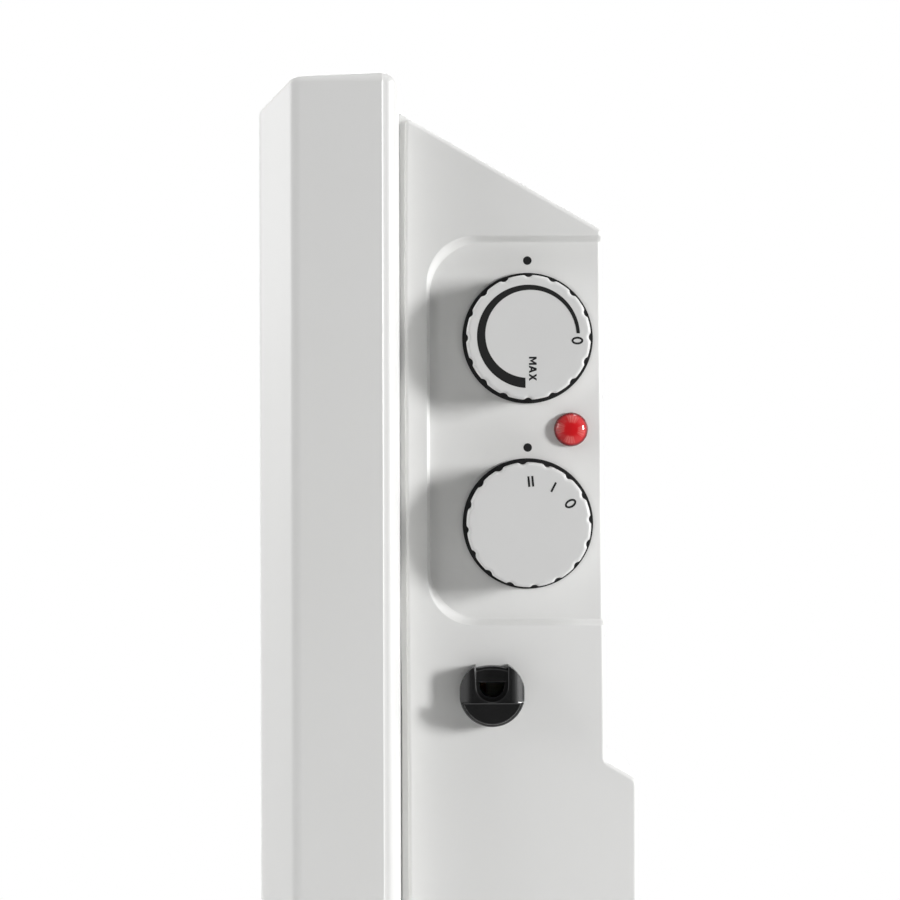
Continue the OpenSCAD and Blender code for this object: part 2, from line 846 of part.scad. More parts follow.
module front_shield() {
    head = drop(outlet_drop + outlet_h + shield_below_outlet);
    color(zinc)
        across(-shield_end, shield_end)
            polygon(ribbon([
                [depth(front_shield_depth + shield_fold), bracket_heel],
                [depth(front_shield_depth), bracket_heel],
                [depth(front_shield_depth), head],
                [depth(front_shield_depth + shield_fold), head + shield_fold * sin(45)]
            ], -shield_t));
    // Tabs that reach back to the brackets' edges
    color(zinc)
        for (s = [-1, 1])
            translate([s * (shield_end - shield_tab / 2), 0, bracket_heel + shield_tab_rise])
                block(
                    [-shield_tab / 2, depth(front_shield_depth + shield_t / 2), 0],
                    [shield_tab / 2, depth(front_shield_depth + 2 * shield_fold), shield_t]);
}

module rear_shield() {
    foot = bracket_floor + shield_rise;
    bend = drop(slope_drop + shield_bend_below);
    color(zinc)
        across(-shield_flange_end, shield_flange_end)
            polygon(ribbon([
                [depth(rear_shield_depth - shield_rise), foot],
                [depth(rear_shield_depth), foot],
                [depth(rear_shield_depth), bend],
                [depth(body_front + shield_lean), bend + (rear_shield_depth - body_front - shield_lean)]
            ], shield_t));
    // Folded tabs that meet the brackets
    color(zinc)
        for (s = [0, 1], z = [foot + shield_tab_low, foot + shield_tab_high])
            mirror([s, 0, 0])
                block(
                    [shield_flange_end - cut, depth(rear_shield_depth - shield_t), z],
                    [shield_end, depth(rear_shield_depth), z + shield_tab]);
}

// Cast aluminium fins round one heater rod, slit so that they can grow when hot
module element_fins(d) {
    end = bracket_x - fin_clear;
    slits = floor((end - slit_pitch / 2) / slit_pitch);
    fin_root = (rod_d + boss_d) / 4;
    slit_root = boss_d / 2 + fin_t / 2;
    translate([0, depth(d), element_z])
        difference() {
            union() {
                bar_x(-end, end, 0, 0, boss_d / 2);
                for (a = [fin_spread, -fin_spread, 180 + fin_spread, 180 - fin_spread])
                    rotate([a, 0, 0])
                        block([-end, -fin_t / 2, fin_root], [end, fin_t / 2, fin_reach]);
            }
            bar_x(-end - cut, end + cut, 0, 0, rod_d / 2 + running_fit);
            for (i = [-slits:slits], s = [-1, 1])
                translate([i * slit_pitch, 0, s * (slit_root + fin_reach)])
                    cube([slit_w, 4 * fin_reach, 2 * fin_reach], center = true);
        }
}

module element_fins_front() {
    color("silver")
        element_fins(element_depths[0]);
}

module element_fins_rear() {
    color("silver")
        element_fins(element_depths[1]);
}

rod_tail = 8;
rod_pin = 6;
rod_end = bracket_x + rod_tail;

module heater_rods() {
    color(zinc)
        for (d = element_depths) {
            bar_x(-rod_end, rod_end, depth(d), element_z, rod_d / 2);
            for (s = [-1, 1])
                bar_x(
                    min(s * (rod_end - cut), s * (rod_end + rod_pin)),
                    max(s * (rod_end - cut), s * (rod_end + rod_pin)),
                    depth(d), element_z, rod_d / 5);
        }
}

// Ceramic bushes that insulate the rods from the brackets
insulator_rim = 4;
insulator_face = bracket_x - bracket_t - fit_gap / 2;

module rod_insulators() {
    color("ivory")
        for (s = [0, 1], d = element_depths)
            mirror([s, 0, 0])
                difference() {
                    union() {
                        bar_x(
                            insulator_face - insulator_rim, insulator_face,
                            depth(d), element_z, insulator_flange_d / 2);
                        bar_x(
                            bracket_x - bracket_t - insulator_rim, bracket_x + insulator_rim,
                            depth(d), element_z, insulator_d / 2);
                    }
                    bar_x(
                        bracket_x - 3 * insulator_rim, bracket_x + 3 * insulator_rim,
                        depth(d), element_z, rod_d / 2 + running_fit);
                }
}

// Disc thermostat that cuts the heat if the outlet is covered
cutout_below = 26;
cutout_d = 16;
cutout_len = 9;
cutout_cap = 2;
cutout_ear = 8;
cutout_z = bracket_top - cutout_below;
cutout_depth = (front_shield_depth + rear_shield_depth) / 2;

module thermal_cutout() {
    face = bracket_x - bracket_t;
    color(black)
        bar_x(face - cutout_len, face, depth(cutout_depth), cutout_z, cutout_d / 2);
    color(zinc) {
        bar_x(
            face - cutout_len - cutout_cap, face - cutout_len,
            depth(cutout_depth), cutout_z, cutout_d * 0.4);
        block(
            [face - cutout_cap / 2, depth(cutout_depth) - cutout_d * 0.75, cutout_z - cutout_ear / 2],
            [face, depth(cutout_depth) + cutout_d * 0.75, cutout_z + cutout_ear / 2]);
    }
}

// Three-pole block that joins the supply to the inside leads
block_below = 34;
block_ahead = 14;
pole_pitch = 8;
block_w = 14;
block_h = 9;
block_foot = 4;
pole_r = 1.8;
block_z = bracket_top - block_below;
block_depths = [for (i = [0:2]) knob_depth - block_ahead + (i - 1) * pole_pitch];

module terminal_block() {
    low = block_depths[0] - pole_pitch * 0.6;
    high = block_depths[2] + pole_pitch * 0.6;
    color("white")
        difference() {
            union() {
                block(
                    [bracket_x, depth(low), block_z],
                    [bracket_x + block_w, depth(high), block_z + block_h]);
                block(
                    [bracket_x, depth(low + cut), block_z - block_foot],
                    [bracket_x + block_h, depth(high - cut), block_z + block_h + block_foot]);
            }
            for (d = block_depths) {
                bar_z(
                    bracket_x + block_h / 2, depth(d),
                    block_z - block_foot - cut, block_z + block_h + block_foot + cut, pole_r);
                bar_x(
                    bracket_x + block_h / 2, bracket_x + block_w + cut,
                    depth(d), block_z + block_h / 2, pole_r);
            }
        }
    color(zinc)
        for (d = block_depths)
            bar_x(
                bracket_x + block_h * 0.55, bracket_x + block_w * 0.9,
                depth(d), block_z + block_h / 2, pole_r - running_fit);
}

// Steel plate behind the recess that carries both controls
plate_t = 1.2;
plate_margin = 4;

module control_plate() {
    color(zinc)
        difference() {
            block(
                [
                    plate_face - plate_t,
                    depth(knob_depth - post_ahead - plate_margin),
                    drop(switch_drop + post_below + plate_margin)
                ],
                [
                    plate_face,
                    depth(knob_depth + post_behind + plate_margin),
                    drop(thermostat_drop - post_above - plate_margin)
                ]);
            for (h = [thermostat_drop, switch_drop])
                bar_x(
                    plate_face - 2 * plate_t, plate_face + cut,
                    depth(knob_depth), drop(h), bush_d / 2 + screw_fit);
            for (p = control_posts)
                bar_x(
                    plate_face - 2 * plate_t, plate_face + cut,
                    depth(p.x), drop(p.y), screw_d / 2 + screw_fit);
            bar_x(
                plate_face - 2 * plate_t, plate_face + cut,
                depth(lamp_depth), drop(lamp_drop), lamp_stem_d / 2 + 1);
        }
}

// Length of the short screws under their heads
screw_reach = 5;

// Pan-head screw with a cross recess, its head towards +z and its seat at zero
module screw(length) {
    difference() {
        union() {
            translate([0, 0, -length])
                cylinder(h = length + screw_head_h / 2, r = screw_d / 2);
            cylinder(h = screw_head_h * 0.6, r = screw_head_d / 2);
            translate([0, 0, screw_head_h * 0.6])
                cylinder(h = screw_head_h * 0.4, r1 = screw_head_d / 2, r2 = screw_head_d / 3);
        }
        for (a = [0, 90])
            rotate([0, 0, a])
                translate([-screw_head_d / 4, -0.4, screw_head_h * 0.4])
                    cube([screw_head_d / 2, 0.8, screw_head_h]);
    }
}

module control_screws() {
    color(zinc)
        for (p = control_posts)
            translate([plate_face - plate_t, depth(p.x), drop(p.y)])
                rotate([0, -90, 0])
                    screw(screw_reach);
}

// Material left behind a control's shaft
socket_wall = 8;

// Box of a control with its threaded bush, drawn about its axis along x
module control_body(size, length) {
    back = plate_face - plate_t - length;
    difference() {
        union() {
            block([back, -size / 2, -size / 2], [plate_face - plate_t, size / 2, size / 2]);
            bar_x(plate_face - plate_t - cut, inner_wall + cut, 0, 0, bush_d / 2);
        }
        bar_x(back + socket_wall, inner_wall + 2 * cut, 0, 0, shaft_d / 2 + running_fit);
    }
}

// Flat shaft of a control, with its flat turned up
module control_shaft(length) {
    back = plate_face - plate_t - length + socket_wall + fit_gap;
    difference() {
        bar_x(back, shaft_tip, 0, 0, shaft_d / 2);
        block(
            [collar_face + knob_gap, -shaft_d, shaft_d / 2 - shaft_flat],
            [shaft_tip + cut, shaft_d, shaft_d]);
    }
}

tip_gap = 1.5;
hub_lift = 1;
collar_face = recess_floor + collar_t;
knob_foot = collar_face + knob_gap;
knob_face = knob_foot + knob_h;
shaft_tip = knob_face - knob_wall - tip_gap;

// Black ring that the knob turns over
module control_collar() {
    difference() {
        bar_x(recess_floor, collar_face, 0, 0, collar_d / 2);
        bar_x(recess_floor - cut, collar_face + cut, 0, 0, shaft_hole_r);
    }
}

// Hollow knob with finger notches and a hub that fits the flat shaft
module control_knob() {
    r = knob_d / 2;
    socket = shaft_d / 2 + running_fit;
    translate([knob_foot, 0, 0])
        rotate([0, 90, 0])
            difference() {
                rotate_extrude($fn = 96)
                    polygon([
                        [0, knob_h],
                        for (a = [90:-90 / 4:0])
                            [r - knob_round * (1 - cos(a)), knob_h - knob_round * (1 - sin(a))],
                        [r, 0],
                        [r - knob_wall, 0],
                        [r - knob_wall, knob_h - knob_wall],
                        [shaft_d / 2 + knob_wall, knob_h - knob_wall],
                        [shaft_d / 2 + knob_wall, hub_lift],
                        [0, hub_lift]
                    ]);
                for (i = [0:notch_count - 1])
                    rotate([0, 0, i * 360 / notch_count])
                        translate([r + notch_r - notch_depth, 0, -cut])
                            cylinder(h = knob_h + 2 * cut, r = notch_r);
                intersection() {
                    translate([0, 0, -cut])
                        cylinder(h = shaft_tip - knob_foot + cut + fit_gap, r = socket);
                    translate([-socket + shaft_flat - running_fit / 2, -shaft_d, -2 * cut])
                        cube([2 * shaft_d, 2 * shaft_d, 2 * knob_h]);
                }
            }
}

thermostat_size = 30;
thermostat_len = 24;
switch_size = 22;
switch_len = 26;

module at_thermostat() {
    translate([0, depth(knob_depth), drop(thermostat_drop)]) children();
}

module at_switch() {
    translate([0, depth(knob_depth), drop(switch_drop)]) children();
}

module thermostat_body() {
    color(black)
        at_thermostat()
            control_body(thermostat_size, thermostat_len);
}

module thermostat_shaft() {
    color(zinc)
        at_thermostat()
            control_shaft(thermostat_len);
}

module thermostat_collar() {
    color(black)
        at_thermostat()
            control_collar();
}

module thermostat_knob() {
    color(plastic)
        at_thermostat()
            control_knob();
}

module switch_body() {
    back = plate_face - plate_t - switch_len;
    color(black)
        at_switch()
            control_body(switch_size, switch_len);
    // Blade terminals of the three contacts
    color(zinc)
        at_switch()
            for (y = tab_offsets)
                block(
                    [back - tab_len, y - tab_w / 2, tab_rise - tab_t / 2],
                    [back + cut, y + tab_w / 2, tab_rise + tab_t / 2]);
}

tab_pitch = 7;
tab_offsets = [-tab_pitch, 0, tab_pitch];
tab_len = 7;
tab_w = 6;
tab_t = 0.8;
tab_rise = 4;
tab_end = plate_face - plate_t - switch_len - tab_len;

module switch_shaft() {
    color(zinc)
        at_switch()
            control_shaft(switch_len);
}

module switch_collar() {
    color(black)
        at_switch()
            control_collar();
}

module switch_knob() {
    color(plastic)
        at_switch()
            control_knob();
}

// Sensing bulb over the inlet, with the fine tube that joins it to the thermostat
bulb_stand = 28;
bulb_ahead = 2;
bulb_x = bracket_x + bulb_stand;
bulb_depth = knob_depth - thermostat_size / 2 + bulb_ahead;
bulb_r = 3;
bulb_base = casing_floor + inlet_rise;
bulb_len = 70;
tube_r = 0.9;

module thermostat_bulb() {
    color("peru") {
        bar_z(bulb_x, depth(bulb_depth), bulb_base, bulb_base + bulb_len, bulb_r);
        bar_z(
            bulb_x, depth(bulb_depth),
            bulb_base + bulb_len - cut, drop(thermostat_drop + thermostat_size / 2), tube_r);
    }
}

// Spring clips that hold the bulb to the bracket
clip_h = 6;
clip_t = 1.2;
clip_inset = 10;

module bulb_clips() {
    color(zinc)
        for (z = [bulb_base + clip_inset, bulb_base + bulb_len - clip_inset - clip_h])
            difference() {
                union() {
                    bar_z(bulb_x, depth(bulb_depth), z, z + clip_h, bulb_r + clip_t);
                    block(
                        [bracket_x, depth(bulb_depth) - clip_t, z],
                        [bulb_x - bulb_r, depth(bulb_depth) + clip_t, z + clip_h]);
                }
                bar_z(bulb_x, depth(bulb_depth), z - cut, z + clip_h + cut, bulb_r + running_fit);
            }
}

// Domed lens with a stem through the recess
module lamp_lens() {
    r = lamp_d / 2;
    dome = (r * r + lamp_h * lamp_h) / (2 * lamp_h);
    color([0.8, 0.08, 0.1])
        translate([recess_floor, depth(lamp_depth), drop(lamp_drop)])
            rotate([0, 90, 0])
                difference() {
                    union() {
                        intersection() {
                            translate([0, 0, lamp_h - dome])
                                sphere(r = dome);
                            cylinder(h = lamp_h, r = r);
                        }
                        translate([0, 0, -lamp_stem])
                            cylinder(h = lamp_stem + lamp_h / 4, r = lamp_stem_d / 2);
                    }
                    translate([0, 0, -lamp_stem - cut])
                        cylinder(h = lamp_stem + cut, r = lamp_bulb_r + fit_gap);
                }
}

lamp_stem = cap_wall + 2;
lamp_bulb_r = 2.5;
lamp_bulb_len = 18;
pinch_r = 0.6;
pinch_depth = 2;

module lamp_bulb() {
    color([1, 0.75, 0.5])
        translate([recess_floor - fit_gap, depth(lamp_depth), drop(lamp_drop)])
            rotate([0, -90, 0])
                difference() {
                    cylinder(h = lamp_bulb_len, r = lamp_bulb_r);
                    translate([0, 0, lamp_bulb_len - pinch_depth])
                        cylinder(h = pinch_depth + cut, r = pinch_r);
                }
}

// Push-on ring that holds the lens from behind
module lamp_clip() {
    color(zinc)
        difference() {
            bar_x(
                inner_wall - clip_t, inner_wall,
                depth(lamp_depth), drop(lamp_drop), lamp_d / 2 + clip_t / 2);
            bar_x(
                inner_wall - 2 * clip_t, inner_wall + cut,
                depth(lamp_depth), drop(lamp_drop), lamp_stem_d / 2 + running_fit);
        }
}

// Head outline of the strain relief: round, with a flat at each side
module relief_head(x0, x1, shrink) {
    half = relief_flats / 2 - shrink;
    intersection() {
        bar_x(x0, x1, 0, 0, relief_d / 2 - shrink);
        block([x0 - cut, -half, -relief_d], [x1 + cut, half, relief_d]);
    }
}

barb_len = 3;
barb_w = 4;
barb_out = 0.9;
bar_rise = 1.2;
bar_w = 2.2;
clamp_inset = 0.8;
clamp_bevel = 0.5;

module at_relief() {
    translate([casing_side, depth(relief_depth), drop(relief_drop)]) children();
}

module strain_relief_body() {
    color(black)
        at_relief() {
            difference() {
                union() {
                    relief_head(0, relief_h, 0);
                    bar_x(-neck_len, cut, 0, 0, neck_d / 2);
                    // Snap barbs behind the casing's wall
                    for (s = [-1, 1])
                        block(
                            [-cap_wall - fit_gap - barb_len, s > 0 ? 0 : -neck_d / 2 - barb_out, -barb_w / 2],
                            [-cap_wall - fit_gap, s > 0 ? neck_d / 2 + barb_out : 0, barb_w / 2]);
                }
                // Channel that turns the cord up along the casing
                bar_x(channel_floor, relief_h + cut, 0, bore_rise, channel_w / 2);
                block(
                    [channel_floor, -channel_w / 2, bore_rise],
                    [relief_h + cut, channel_w / 2, relief_d]);
                bar_x(-neck_len - cut, relief_h, 0, bore_rise, cord_bore_d / 2);
            }
            // Low bar across the channel's mouth
            intersection() {
                relief_head(0, channel_floor + bar_rise, clamp_inset);
                block(
                    [0, -channel_w / 2 - cut, relief_d / 2 - bar_w],
                    [channel_floor + bar_rise, channel_w / 2 + cut, relief_d]);
            }
        }
}

// Plate that presses the cord down, over the lower half of the head
module strain_relief_clamp() {
    color(black)
        at_relief()
            intersection() {
                union() {
                    relief_head(relief_h, relief_h + clamp_t - clamp_bevel, clamp_inset);
                    relief_head(relief_h, relief_h + clamp_t, clamp_inset + clamp_bevel);
                }
                block(
                    [relief_h - cut, -relief_d, -relief_d],
                    [relief_h + clamp_t + cut, relief_d, -clamp_edge]);
            }
}

// Insulated lead along a path with square turns
module lead(path, r) {
    for (i = [0:len(path) - 2])
        let (
            a = path[i],
            b = path[i + 1],
            lo = [min(a.x, b.x), min(a.y, b.y), min(a.z, b.z)],
            hi = [max(a.x, b.x), max(a.y, b.y), max(a.z, b.z)]
        )
        if (hi.x > lo.x)
            bar_x(lo.x, hi.x, a.y, a.z, r);
        else if (hi.y > lo.y)
            bar_y(a.x, lo.y, hi.y, a.z, r);
        else
            bar_z(a.x, a.y, lo.z, hi.z, r);
    for (i = [1:len(path) - 2])
        translate(path[i])
            sphere(r = r);
}

lead_r = 1.1;
lead_turn = 30;
rod_turn = 6;
lead_step = 8;
lead_side = 9;
lead_gap = 3;

// Two leads from the terminal block up to the switch
module supply_leads() {
    color("saddlebrown")
        for (i = [0, 1])
            let (
                y = depth(block_depths[i + 1]),
                x = bracket_x + block_h / 2,
                tab = depth(knob_depth) + tab_offsets[i],
                z = drop(switch_drop) + tab_rise,
                turn = drop(switch_drop) - lead_turn - lead_step * i
            )
            lead([
                [x, y, block_z + block_h],
                [x, y, turn],
                [x, tab, turn],
                [x, tab, z],
                [tab_end, tab, z]
            ], lead_r);
}

// Leads from the switch down to the ends of the two rods
module element_leads() {
    color("firebrick")
        for (i = [0, 1])
            let (
                x = rod_end + rod_pin + lead_gap * (1 + i),
                y = depth(element_depths[i]),
                side = depth(block_depths[2]) + lead_side + lead_step * i / 2,
                rise = element_z + rod_turn + lead_step * i,
                z = drop(switch_drop) + tab_rise - tab_len - lead_step * i / 2
            )
            lead([
                [rod_end + rod_pin, y, element_z],
                [x, y, element_z],
                [x, y, rise],
                [x, side, rise],
                [x, side, z],
                [tab_end + tab_len, side, z]
            ], lead_r);
}

module rear_screws() {
    color(zinc)
        for (s = [-1, 1], z = rear_screw_heights)
            translate([s * rear_screw_x, depth(back_depth(z)) + 0.05, z])
                rotate([-90, 0, 0])
                    screw(screw_reach);
}

module bracket_screws() {
    color(zinc)
        for (s = [-1, 1], y = bracket_screw_depths)
            translate([s * bracket_screw_x, depth(y), casing_floor + back_sheet])
                rotate([180, 0, 0])
                    screw(screw_reach - cut);
}

// Moulded foot with a saddle that clears the front panel's lower edge
foot_x = cap_start + cap_len / 2;
foot_screw_inset = 14;
foot_reach = foot_len / 2;
pad_margin = 4;
foot_screw_depths = [body_front + foot_screw_inset, overall_depth - foot_screw_inset - pad_margin];
pad_y = foot_reach - pad_d / 2 - pad_margin;
arch_slope = 14;
// Small, middle and large radii of the foot's outline
foot_bends = [3.6, 6, 13];
saddle_gap = 3;
foot_lean = 8;
foot_front_drop = 14;
foot_back_drop = 6;

foot_corners = [
    [-foot_reach, pad_t, foot_bends[0]],
    [-foot_reach + pad_d + 2 * pad_margin, pad_t, foot_bends[1]],
    [-foot_reach + pad_d + 2 * pad_margin + arch_slope, pad_t + foot_arch, foot_bends[2]],
    [foot_reach - pad_d - 2 * pad_margin - arch_slope, pad_t + foot_arch, foot_bends[2]],
    [foot_reach - pad_d - 2 * pad_margin, pad_t, foot_bends[1]],
    [foot_reach, pad_t, foot_bends[0]],
    [foot_reach, foot_tip_h, foot_bends[1]],
    [depth(overall_depth + foot_lean), foot_lift - foot_back_drop, foot_bends[2]],
    [depth(overall_depth - pad_margin), casing_floor, foot_bends[0]],
    [depth(panel_depth + saddle_gap), casing_floor, foot_bends[0]],
    [depth(panel_depth + saddle_gap), foot_lift - fit_gap, foot_bends[0]],
    [depth(pad_margin), foot_lift - fit_gap, foot_bends[0]],
    [depth(-foot_lean), foot_lift - foot_front_drop, foot_bends[2]],
    [-foot_reach, foot_tip_h, foot_bends[1]]
];

module foot() {
    edge = [for (a = [0:30:90]) [foot_w / 2 - foot_round * (1 - sin(a)), foot_round * (1 - cos(a))]];
    translate([foot_x, 0, 0])
        difference() {
            rotate([90, 0, 90])
                loft([
                    for (i = [len(edge) - 1:-1:0]) section(inset(foot_corners, edge[i].y), -edge[i].x),
                    for (e = edge) section(inset(foot_corners, e.y), e.x)
                ]);
            for (y = foot_screw_depths) {
                bar_z(0, depth(y), 0, casing_floor + cut, screw_d / 2 + screw_fit);
                bar_z(0, depth(y), 0, casing_floor - foot_seat, screw_head_d / 2 + 1);
            }
        }
}

foot_seat = 4;

module right_foot() {
    color(plastic)
        foot();
}

module left_foot() {
    color(plastic)
        mirror([1, 0, 0])
            foot();
}

module foot_pads() {
    color(black)
        for (s = [-1, 1], t = [-1, 1])
            translate([s * foot_x, t * pad_y, 0]) {
                cylinder(h = pad_t, r = pad_d / 2);
            }
}

module foot_screws() {
    color(zinc)
        for (s = [-1, 1], y = foot_screw_depths)
            translate([s * foot_x, depth(y), casing_floor - foot_seat])
                rotate([180, 0, 0])
                    screw(foot_seat + 2 * cap_wall + screw_reach - 2 * cut);
}

front_panel();
outlet_grille();
rear_panel();
base_grille();
right_end_cap();
left_end_cap();
right_bracket();
left_bracket();
front_shield();
rear_shield();
element_fins_front();
element_fins_rear();
heater_rods();
rod_insulators();
thermal_cutout();
terminal_block();
control_plate();
control_screws();
thermostat_body();
thermostat_shaft();
thermostat_collar();
thermostat_knob();
thermostat_bulb();
bulb_clips();
switch_body();
switch_shaft();
switch_collar();
switch_knob();
lamp_lens();
lamp_bulb();
lamp_clip();
strain_relief_body();
strain_relief_clamp();
supply_leads();
element_leads();
rear_screws();
bracket_screws();
right_foot();
left_foot();
foot_pads();
foot_screws();
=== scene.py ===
import math

import bmesh
import bpy
from mathutils import Matrix, Vector


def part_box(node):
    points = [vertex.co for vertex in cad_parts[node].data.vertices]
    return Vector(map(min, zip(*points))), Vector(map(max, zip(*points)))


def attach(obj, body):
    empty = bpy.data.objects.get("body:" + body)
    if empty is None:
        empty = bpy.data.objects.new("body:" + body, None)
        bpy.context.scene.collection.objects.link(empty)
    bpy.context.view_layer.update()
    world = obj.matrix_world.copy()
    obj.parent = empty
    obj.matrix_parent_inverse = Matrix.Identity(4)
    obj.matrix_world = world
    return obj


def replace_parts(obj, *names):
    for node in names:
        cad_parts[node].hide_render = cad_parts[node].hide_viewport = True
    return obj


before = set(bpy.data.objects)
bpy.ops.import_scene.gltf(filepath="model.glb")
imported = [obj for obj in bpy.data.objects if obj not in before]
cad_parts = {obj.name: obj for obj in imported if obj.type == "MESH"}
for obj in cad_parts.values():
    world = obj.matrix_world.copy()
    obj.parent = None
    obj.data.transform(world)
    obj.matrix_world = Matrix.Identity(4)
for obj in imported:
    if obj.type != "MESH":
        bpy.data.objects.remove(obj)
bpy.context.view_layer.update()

# Camera
# It stands level with the controls, a metre from the casing's right-hand side, and looks
# along the heater's width with a long lens.
FRAME_PIXELS = 900
FOCAL_PIXELS = 3414
SENSOR = 36
CLIP_NEAR, CLIP_FAR = 0.01, 30
EYE = Vector((1.308, -0.0007, 0.3519))
AIM_RIGHT, AIM_DOWN = 4, 36
ROLL = math.radians(-0.13)

camera = bpy.data.objects.new("camera", bpy.data.cameras.new("camera"))
bpy.context.scene.collection.objects.link(camera)
bpy.context.scene.camera = camera
camera.data.sensor_width = SENSOR
camera.data.lens = SENSOR * FOCAL_PIXELS / FRAME_PIXELS
camera.data.clip_start, camera.data.clip_end = CLIP_NEAR, CLIP_FAR
camera.location = EYE
aim = Vector((-1, AIM_RIGHT / FOCAL_PIXELS, -AIM_DOWN / FOCAL_PIXELS))
turned = aim.to_track_quat("-Z", "Y").to_matrix() @ Matrix.Rotation(ROLL, 3, "Z")
camera.rotation_mode = "QUATERNION"
camera.rotation_quaternion = turned.to_quaternion()

# Studio
# A pale matt floor under four lamps: a small one behind and to the right, larger ones in front
# and at the left, and one overhead. The floor fades into the white surroundings.
FLOOR_HALF, FADE_FROM, FADE_TO = 1.0, 0.5, 0.95
FLOOR_GREY, WHITE = "#E9E9E9", "#FFFFFF"
AMBIENT = 0.10
# The side that the photographer works from is left dark, so black parts stay black: how dark
# it is, and where it starts and is full, as the x of a direction
DARK_SIDE, DARK_FROM, DARK_TO = 0.10, 0.55, 0.95
# Direction from the heater, distance, width and height of each lamp in metres, and how bright
# it makes a white face that is turned straight to it
LAMP_AIM = Vector((0.25, 0, 0.32))
LAMPS = {
    "lamp_rear_right": ((0.50, 0.86, 0.14), 2.2, 0.3, 0.6, 0.90),
    "lamp_front": ((0.12, -1.0, 0.34), 2.2, 1.4, 1.6, 0.75),
    "lamp_left": ((-1.0, 0.1, 0.30), 2.2, 1.8, 1.8, 0.52),
    "lamp_top": ((0.10, 0.25, 1.00), 2.2, 0.8, 0.8, 0.17),
}


def linear(code):
    """The linear colour of an sRGB hex value."""
    channels = [int(code[i:i + 2], 16) / 255 for i in (1, 3, 5)]
    return [c / 12.92 if c <= 0.04045 else ((c + 0.055) / 1.055) ** 2.4 for c in channels] + [1]


def add(tree, kind, sockets=None, **settings):
    """Adds a node, gives it its settings, and fills its sockets or links them to nodes."""
    made = tree.nodes.new("ShaderNode" + kind)
    for name, value in settings.items():
        setattr(made, name, value)
    for name, value in (sockets or {}).items():
        if isinstance(value, bpy.types.Node):
            value = value.outputs[0]
        if isinstance(value, bpy.types.NodeSocket):
            tree.links.new(value, made.inputs[name])
        else:
            made.inputs[name].default_value = value
    return made


def new_finish(name):
    """An empty material and its tree."""
    finish = bpy.data.materials.new(name)
    finish.use_nodes = True
    finish.node_tree.nodes.clear()
    return finish, finish.node_tree


for name, (way, distance, wide, tall, level) in LAMPS.items():
    lamp = bpy.data.objects.new(name, bpy.data.lights.new(name, "AREA"))
    bpy.context.scene.collection.objects.link(lamp)
    lamp.data.shape = "ELLIPSE"
    lamp.data.size, lamp.data.size_y = wide, tall
    lamp.data.energy = level * (math.pi * distance) ** 2
    lamp.location = LAMP_AIM + Vector(way).normalized() * distance
    lamp.rotation_euler = (-Vector(way)).to_track_quat("-Z", "Y").to_euler()
    lamp.visible_camera = False

world = bpy.data.worlds.new("studio")
bpy.context.scene.world = world
world.use_nodes = True
tree = world.node_tree
tree.nodes.clear()
rays = add(tree, "LightPath").outputs
seen = add(tree, "Math", {0: rays["Is Camera Ray"], 1: rays["Is Glossy Ray"]}, operation="MAXIMUM")
seen = add(tree, "Math", {0: seen, 1: rays["Is Transmission Ray"]}, operation="MAXIMUM")
dim = add(tree, "Background", {"Color": linear(WHITE), "Strength": AMBIENT})
way = add(tree, "SeparateXYZ", {0: add(tree, "TexCoord").outputs["Generated"]})
side = add(
    tree, "MapRange", {0: way.outputs["X"], 1: DARK_FROM, 2: DARK_TO}, interpolation_type="SMOOTHSTEP")
side = add(tree, "Math", {0: side, 1: rays["Is Glossy Ray"]}, operation="MULTIPLY")
tone = add(tree, "MapRange", {0: side, 3: 1, 4: DARK_SIDE})
bright = add(tree, "Background", {"Color": linear(WHITE), "Strength": tone})
add(tree, "OutputWorld", {"Surface": add(tree, "MixShader", {0: seen, 1: dim, 2: bright})})

floor_paint, tree = new_finish("matt_floor_paint")
place = add(tree, "TexCoord").outputs["Object"]
away = add(tree, "VectorMath", {0: place}, operation="LENGTH").outputs["Value"]
fade = add(tree, "MapRange", {0: away, 1: FADE_FROM, 2: FADE_TO}, interpolation_type="SMOOTHSTEP")
rays = add(tree, "LightPath").outputs
clear = add(tree, "Math", {0: fade, 1: rays["Is Camera Ray"]}, operation="MULTIPLY")
matt = add(tree, "BsdfDiffuse", {"Color": linear(FLOOR_GREY)})
glow = add(tree, "Emission", {"Color": linear(WHITE), "Strength": 1})
add(tree, "OutputMaterial", {"Surface": add(tree, "MixShader", {0: clear, 1: matt, 2: glow})})

floor_skin = bmesh.new()
bmesh.ops.create_circle(floor_skin, cap_ends=True, segments=96, radius=FLOOR_HALF)
floor_mesh = bpy.data.meshes.new("studio_floor")
floor_skin.to_mesh(floor_mesh)
floor_skin.free()
studio_floor = bpy.data.objects.new("studio_floor", floor_mesh)
studio_floor.data.materials.append(floor_paint)
bpy.context.scene.collection.objects.link(studio_floor)
bpy.context.scene.view_settings.view_transform = "Standard"

# Rear panel
# One sheet of 0.8 mm steel, folded along the sloped top, the back and the floor, then
# powder coated. Two beads stiffen it, the lower slots let cold air in, and it hangs on
# four slots. It is screwed to the end caps.
MM = 0.001
OVERALL_DEPTH, PANEL_TOP = 110.4, 451
CASING_FRONT, CASING_FLOOR, CASING_TOP = -11.8, 50, 438.6
BACK_TOP, BACK_FLOOR = (45.0, 405.8), 47.28
SHEET = 0.8
REAR_END, BASE_EDGE = 254.7, 30.6
GROOVE_FRONT, GROOVE_BACK, GROOVE_TOP = -14.2, -13.6, 435.6
COLLAR_TOP = 440.4
BEAD_HEIGHTS = (331, 251)
BEAD_HALF, BEAD_WIDE, BEAD_BEND, BEAD_SLOPE = 190, 14, 6.9, 4
BEAD_PROUD, BEAD_ROOT = 1.6, 0.1
SLOTS, SLOT_PITCH, SLOT_WIDE, SLOT_LOW, SLOT_HIGH = 46, 10, 3.6, 74, 108
